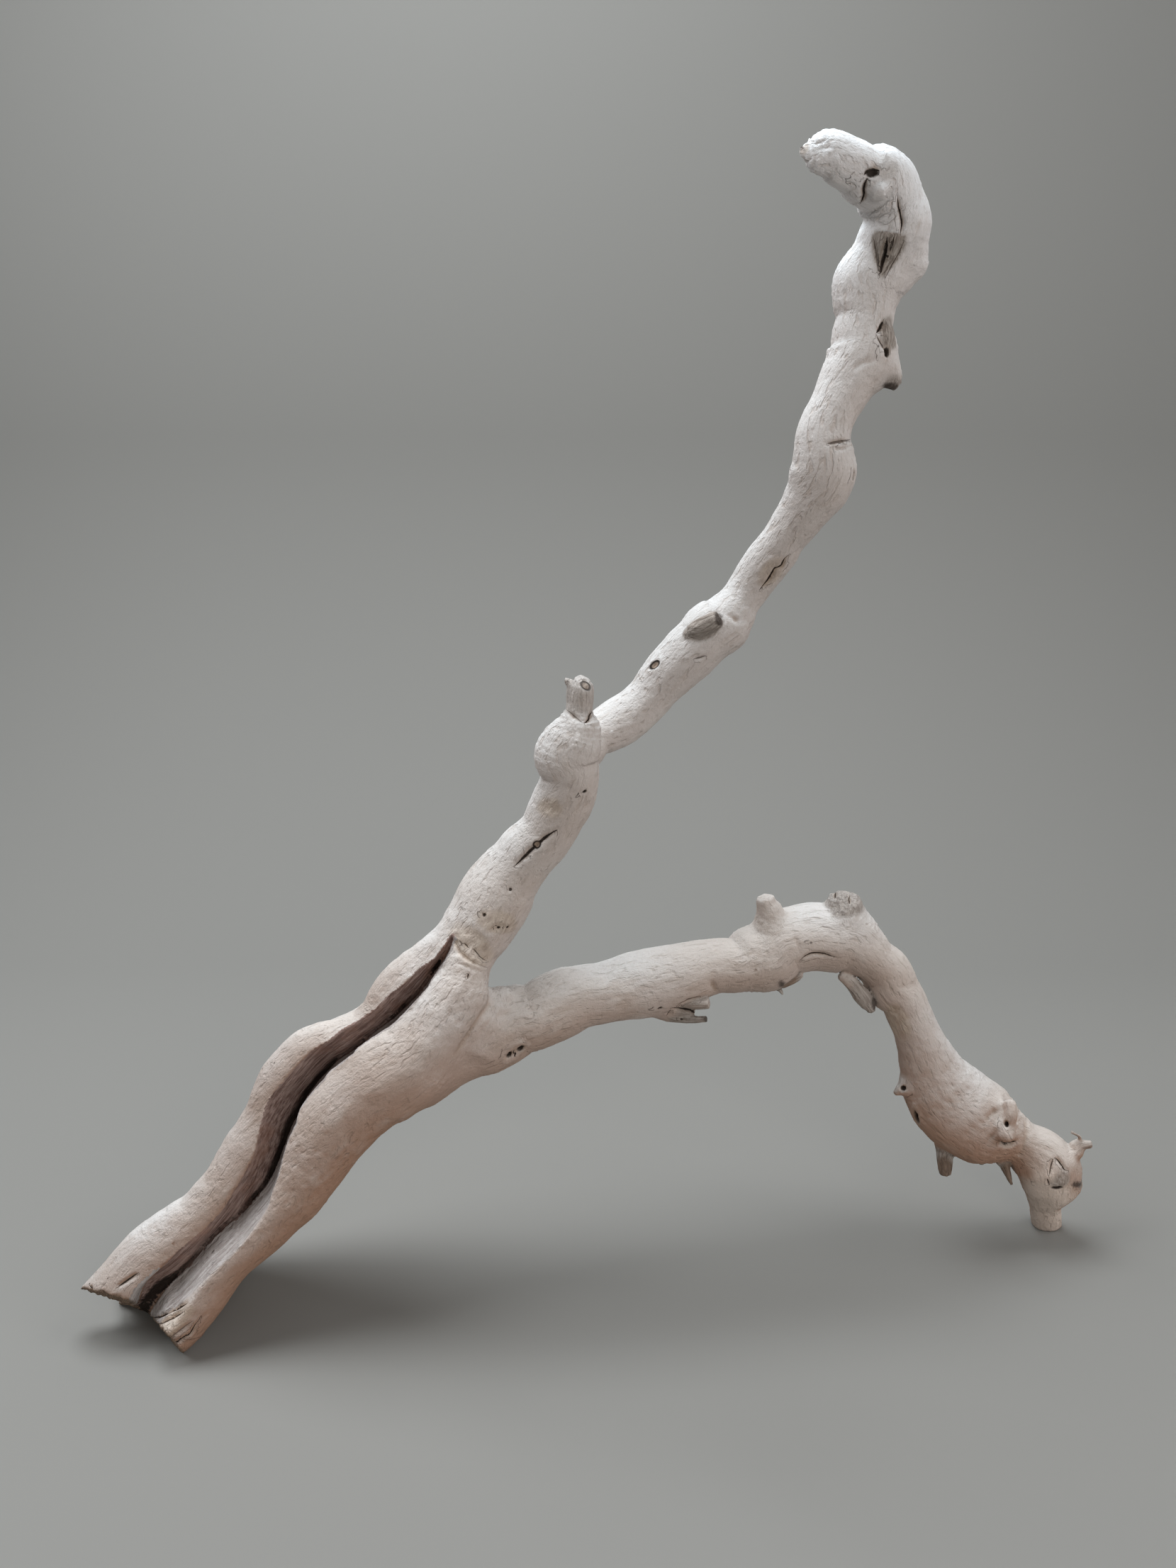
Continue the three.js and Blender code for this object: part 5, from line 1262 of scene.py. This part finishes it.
hole = maths("MAXIMUM", maths("MULTIPLY", ramp(far.outputs["Value"], 1.05, 0.55), open_), maths("MULTIPLY", ring, knot))
colour = mix(maths("MULTIPLY", maths("MULTIPLY", ramp(far.outputs["Value"], 0.95, 0.7), knot), 0.8), colour, KNOT)
colour = mix(maths("MULTIPLY", read("char"), 0.85), colour, (0.045, 0.033, 0.027))
line = maths("MULTIPLY", line, maths("SUBTRACT", 1.0, maths("MULTIPLY", ramp(far.outputs["Value"], 0.95, 0.75), knot)))
dark = maths("MAXIMUM", maths("MAXIMUM", line, hole), read("crack"))
# a darker brown rim round the crack lines and open holes
crack_rim_tint = maths("MULTIPLY", maths("MAXIMUM", maths("MULTIPLY", ramp(slit_d, 2.6, 0.8), read("slit_on")),
                                maths("MULTIPLY", ramp(far.outputs["Value"], 1.9, 1.0), open_)), 0.25)
colour = mix(crack_rim_tint, colour, STREAK)
# painted shade: near-black inside cracks, open holes and along the split's deepest line; the ring round a knot is the
# knot's own dark colour
colour = mix(maths("MULTIPLY", dark, 0.96), colour, (0.022, 0.014, 0.010))

fine = maths("ADD", maths("MULTIPLY", clouds(scaled(grain, 320.0, 430.0, 430.0), 1.0, 4.0, 0.6), 1.0),
             maths("MULTIPLY", pit, -0.55))
fine = maths("ADD", fine, maths("MULTIPLY", fibre, 0.3))
fine = maths("ADD", fine, maths("MULTIPLY", speck, 0.2))
fine = maths("ADD", fine, maths("MULTIPLY", dark, -1.6))
bump = node("ShaderNodeBump")
bump.inputs["Strength"].default_value = BUMP
bump.inputs["Distance"].default_value = 0.0010
link(fine, bump.inputs["Height"])
shader = node("ShaderNodeBsdfPrincipled")
link(colour, shader.inputs["Base Color"])
link(ramp(streak, 0.3, 0.7, 0.82, 0.97), shader.inputs["Roughness"])
shader.inputs["Specular IOR Level"].default_value = 0.22
link(bump.outputs["Normal"], shader.inputs["Normal"])
end = node("ShaderNodeOutputMaterial")
link(shader.outputs["BSDF"], end.inputs["Surface"])
me.materials.clear()
me.materials.append(mat)


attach(wood, "root")
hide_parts("driftwood")

# ------------------------------------------------------------------ floor, light and camera
scene = bpy.context.scene
floor_me = bpy.data.meshes.new("floor")
n_arc, deep, high, rad = 24, 0.95, 2.6, 0.5
profile = [(-3.0, 0.0)] + [(deep - rad + rad * math.sin(t), rad - rad * math.cos(t)) for t in np.linspace(0, math.pi / 2, n_arc)] + [(deep, high)]
fv = [(x, y, z) for y, z in profile for x in (-4.0, 4.0)]
floor_me.from_pydata(fv, [], [(2 * i, 2 * i + 1, 2 * i + 3, 2 * i + 2) for i in range(len(profile) - 1)])
floor_me.polygons.foreach_set("use_smooth", np.ones(len(floor_me.polygons), bool))
floor = bpy.data.objects.new("floor", floor_me)
scene.collection.objects.link(floor)
fm = bpy.data.materials.new("pale_floor")
fm.use_nodes = True
fb = fm.node_tree.nodes["Principled BSDF"]
fb.inputs["Base Color"].default_value = FLOOR_COLOUR
fb.inputs["Roughness"].default_value = 0.85
floor_me.materials.append(fm)

world = bpy.data.worlds.new("studio")
scene.world = world
world.use_nodes = True
world.node_tree.nodes["Background"].inputs["Color"].default_value = WORLD_COLOUR
world.node_tree.nodes["Background"].inputs["Strength"].default_value = WORLD_STRENGTH


def lamp(name, where, look, size, power, colour):
    from mathutils import Vector
    d = bpy.data.lights.new(name, "AREA")
    d.shape, d.size, d.energy, d.color = "DISK", size, power, colour
    o = bpy.data.objects.new(name, d)
    o.location = where
    o.rotation_euler = (Vector(look) - Vector(where)).to_track_quat("-Z", "Y").to_euler()
    scene.collection.objects.link(o)


for row in LAMPS:
    lamp(*row)

cd = bpy.data.cameras.new("camera")
cd.sensor_width, cd.sensor_fit = 36.0, "AUTO"
cd.lens = 36.0 * FOCAL_PX / max(IMAGE)
cd.clip_start = 0.02
co_ = bpy.data.objects.new("camera", cd)
co_.location = cam / 1000
co_.rotation_euler = (math.pi / 2 - PITCH, 0, 0)
scene.collection.objects.link(co_)
scene.camera = co_
scene.view_settings.view_transform = "Standard"
scene.view_settings.look = "None"
scene.view_settings.exposure = EXPOSURE


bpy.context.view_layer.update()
lap("done")
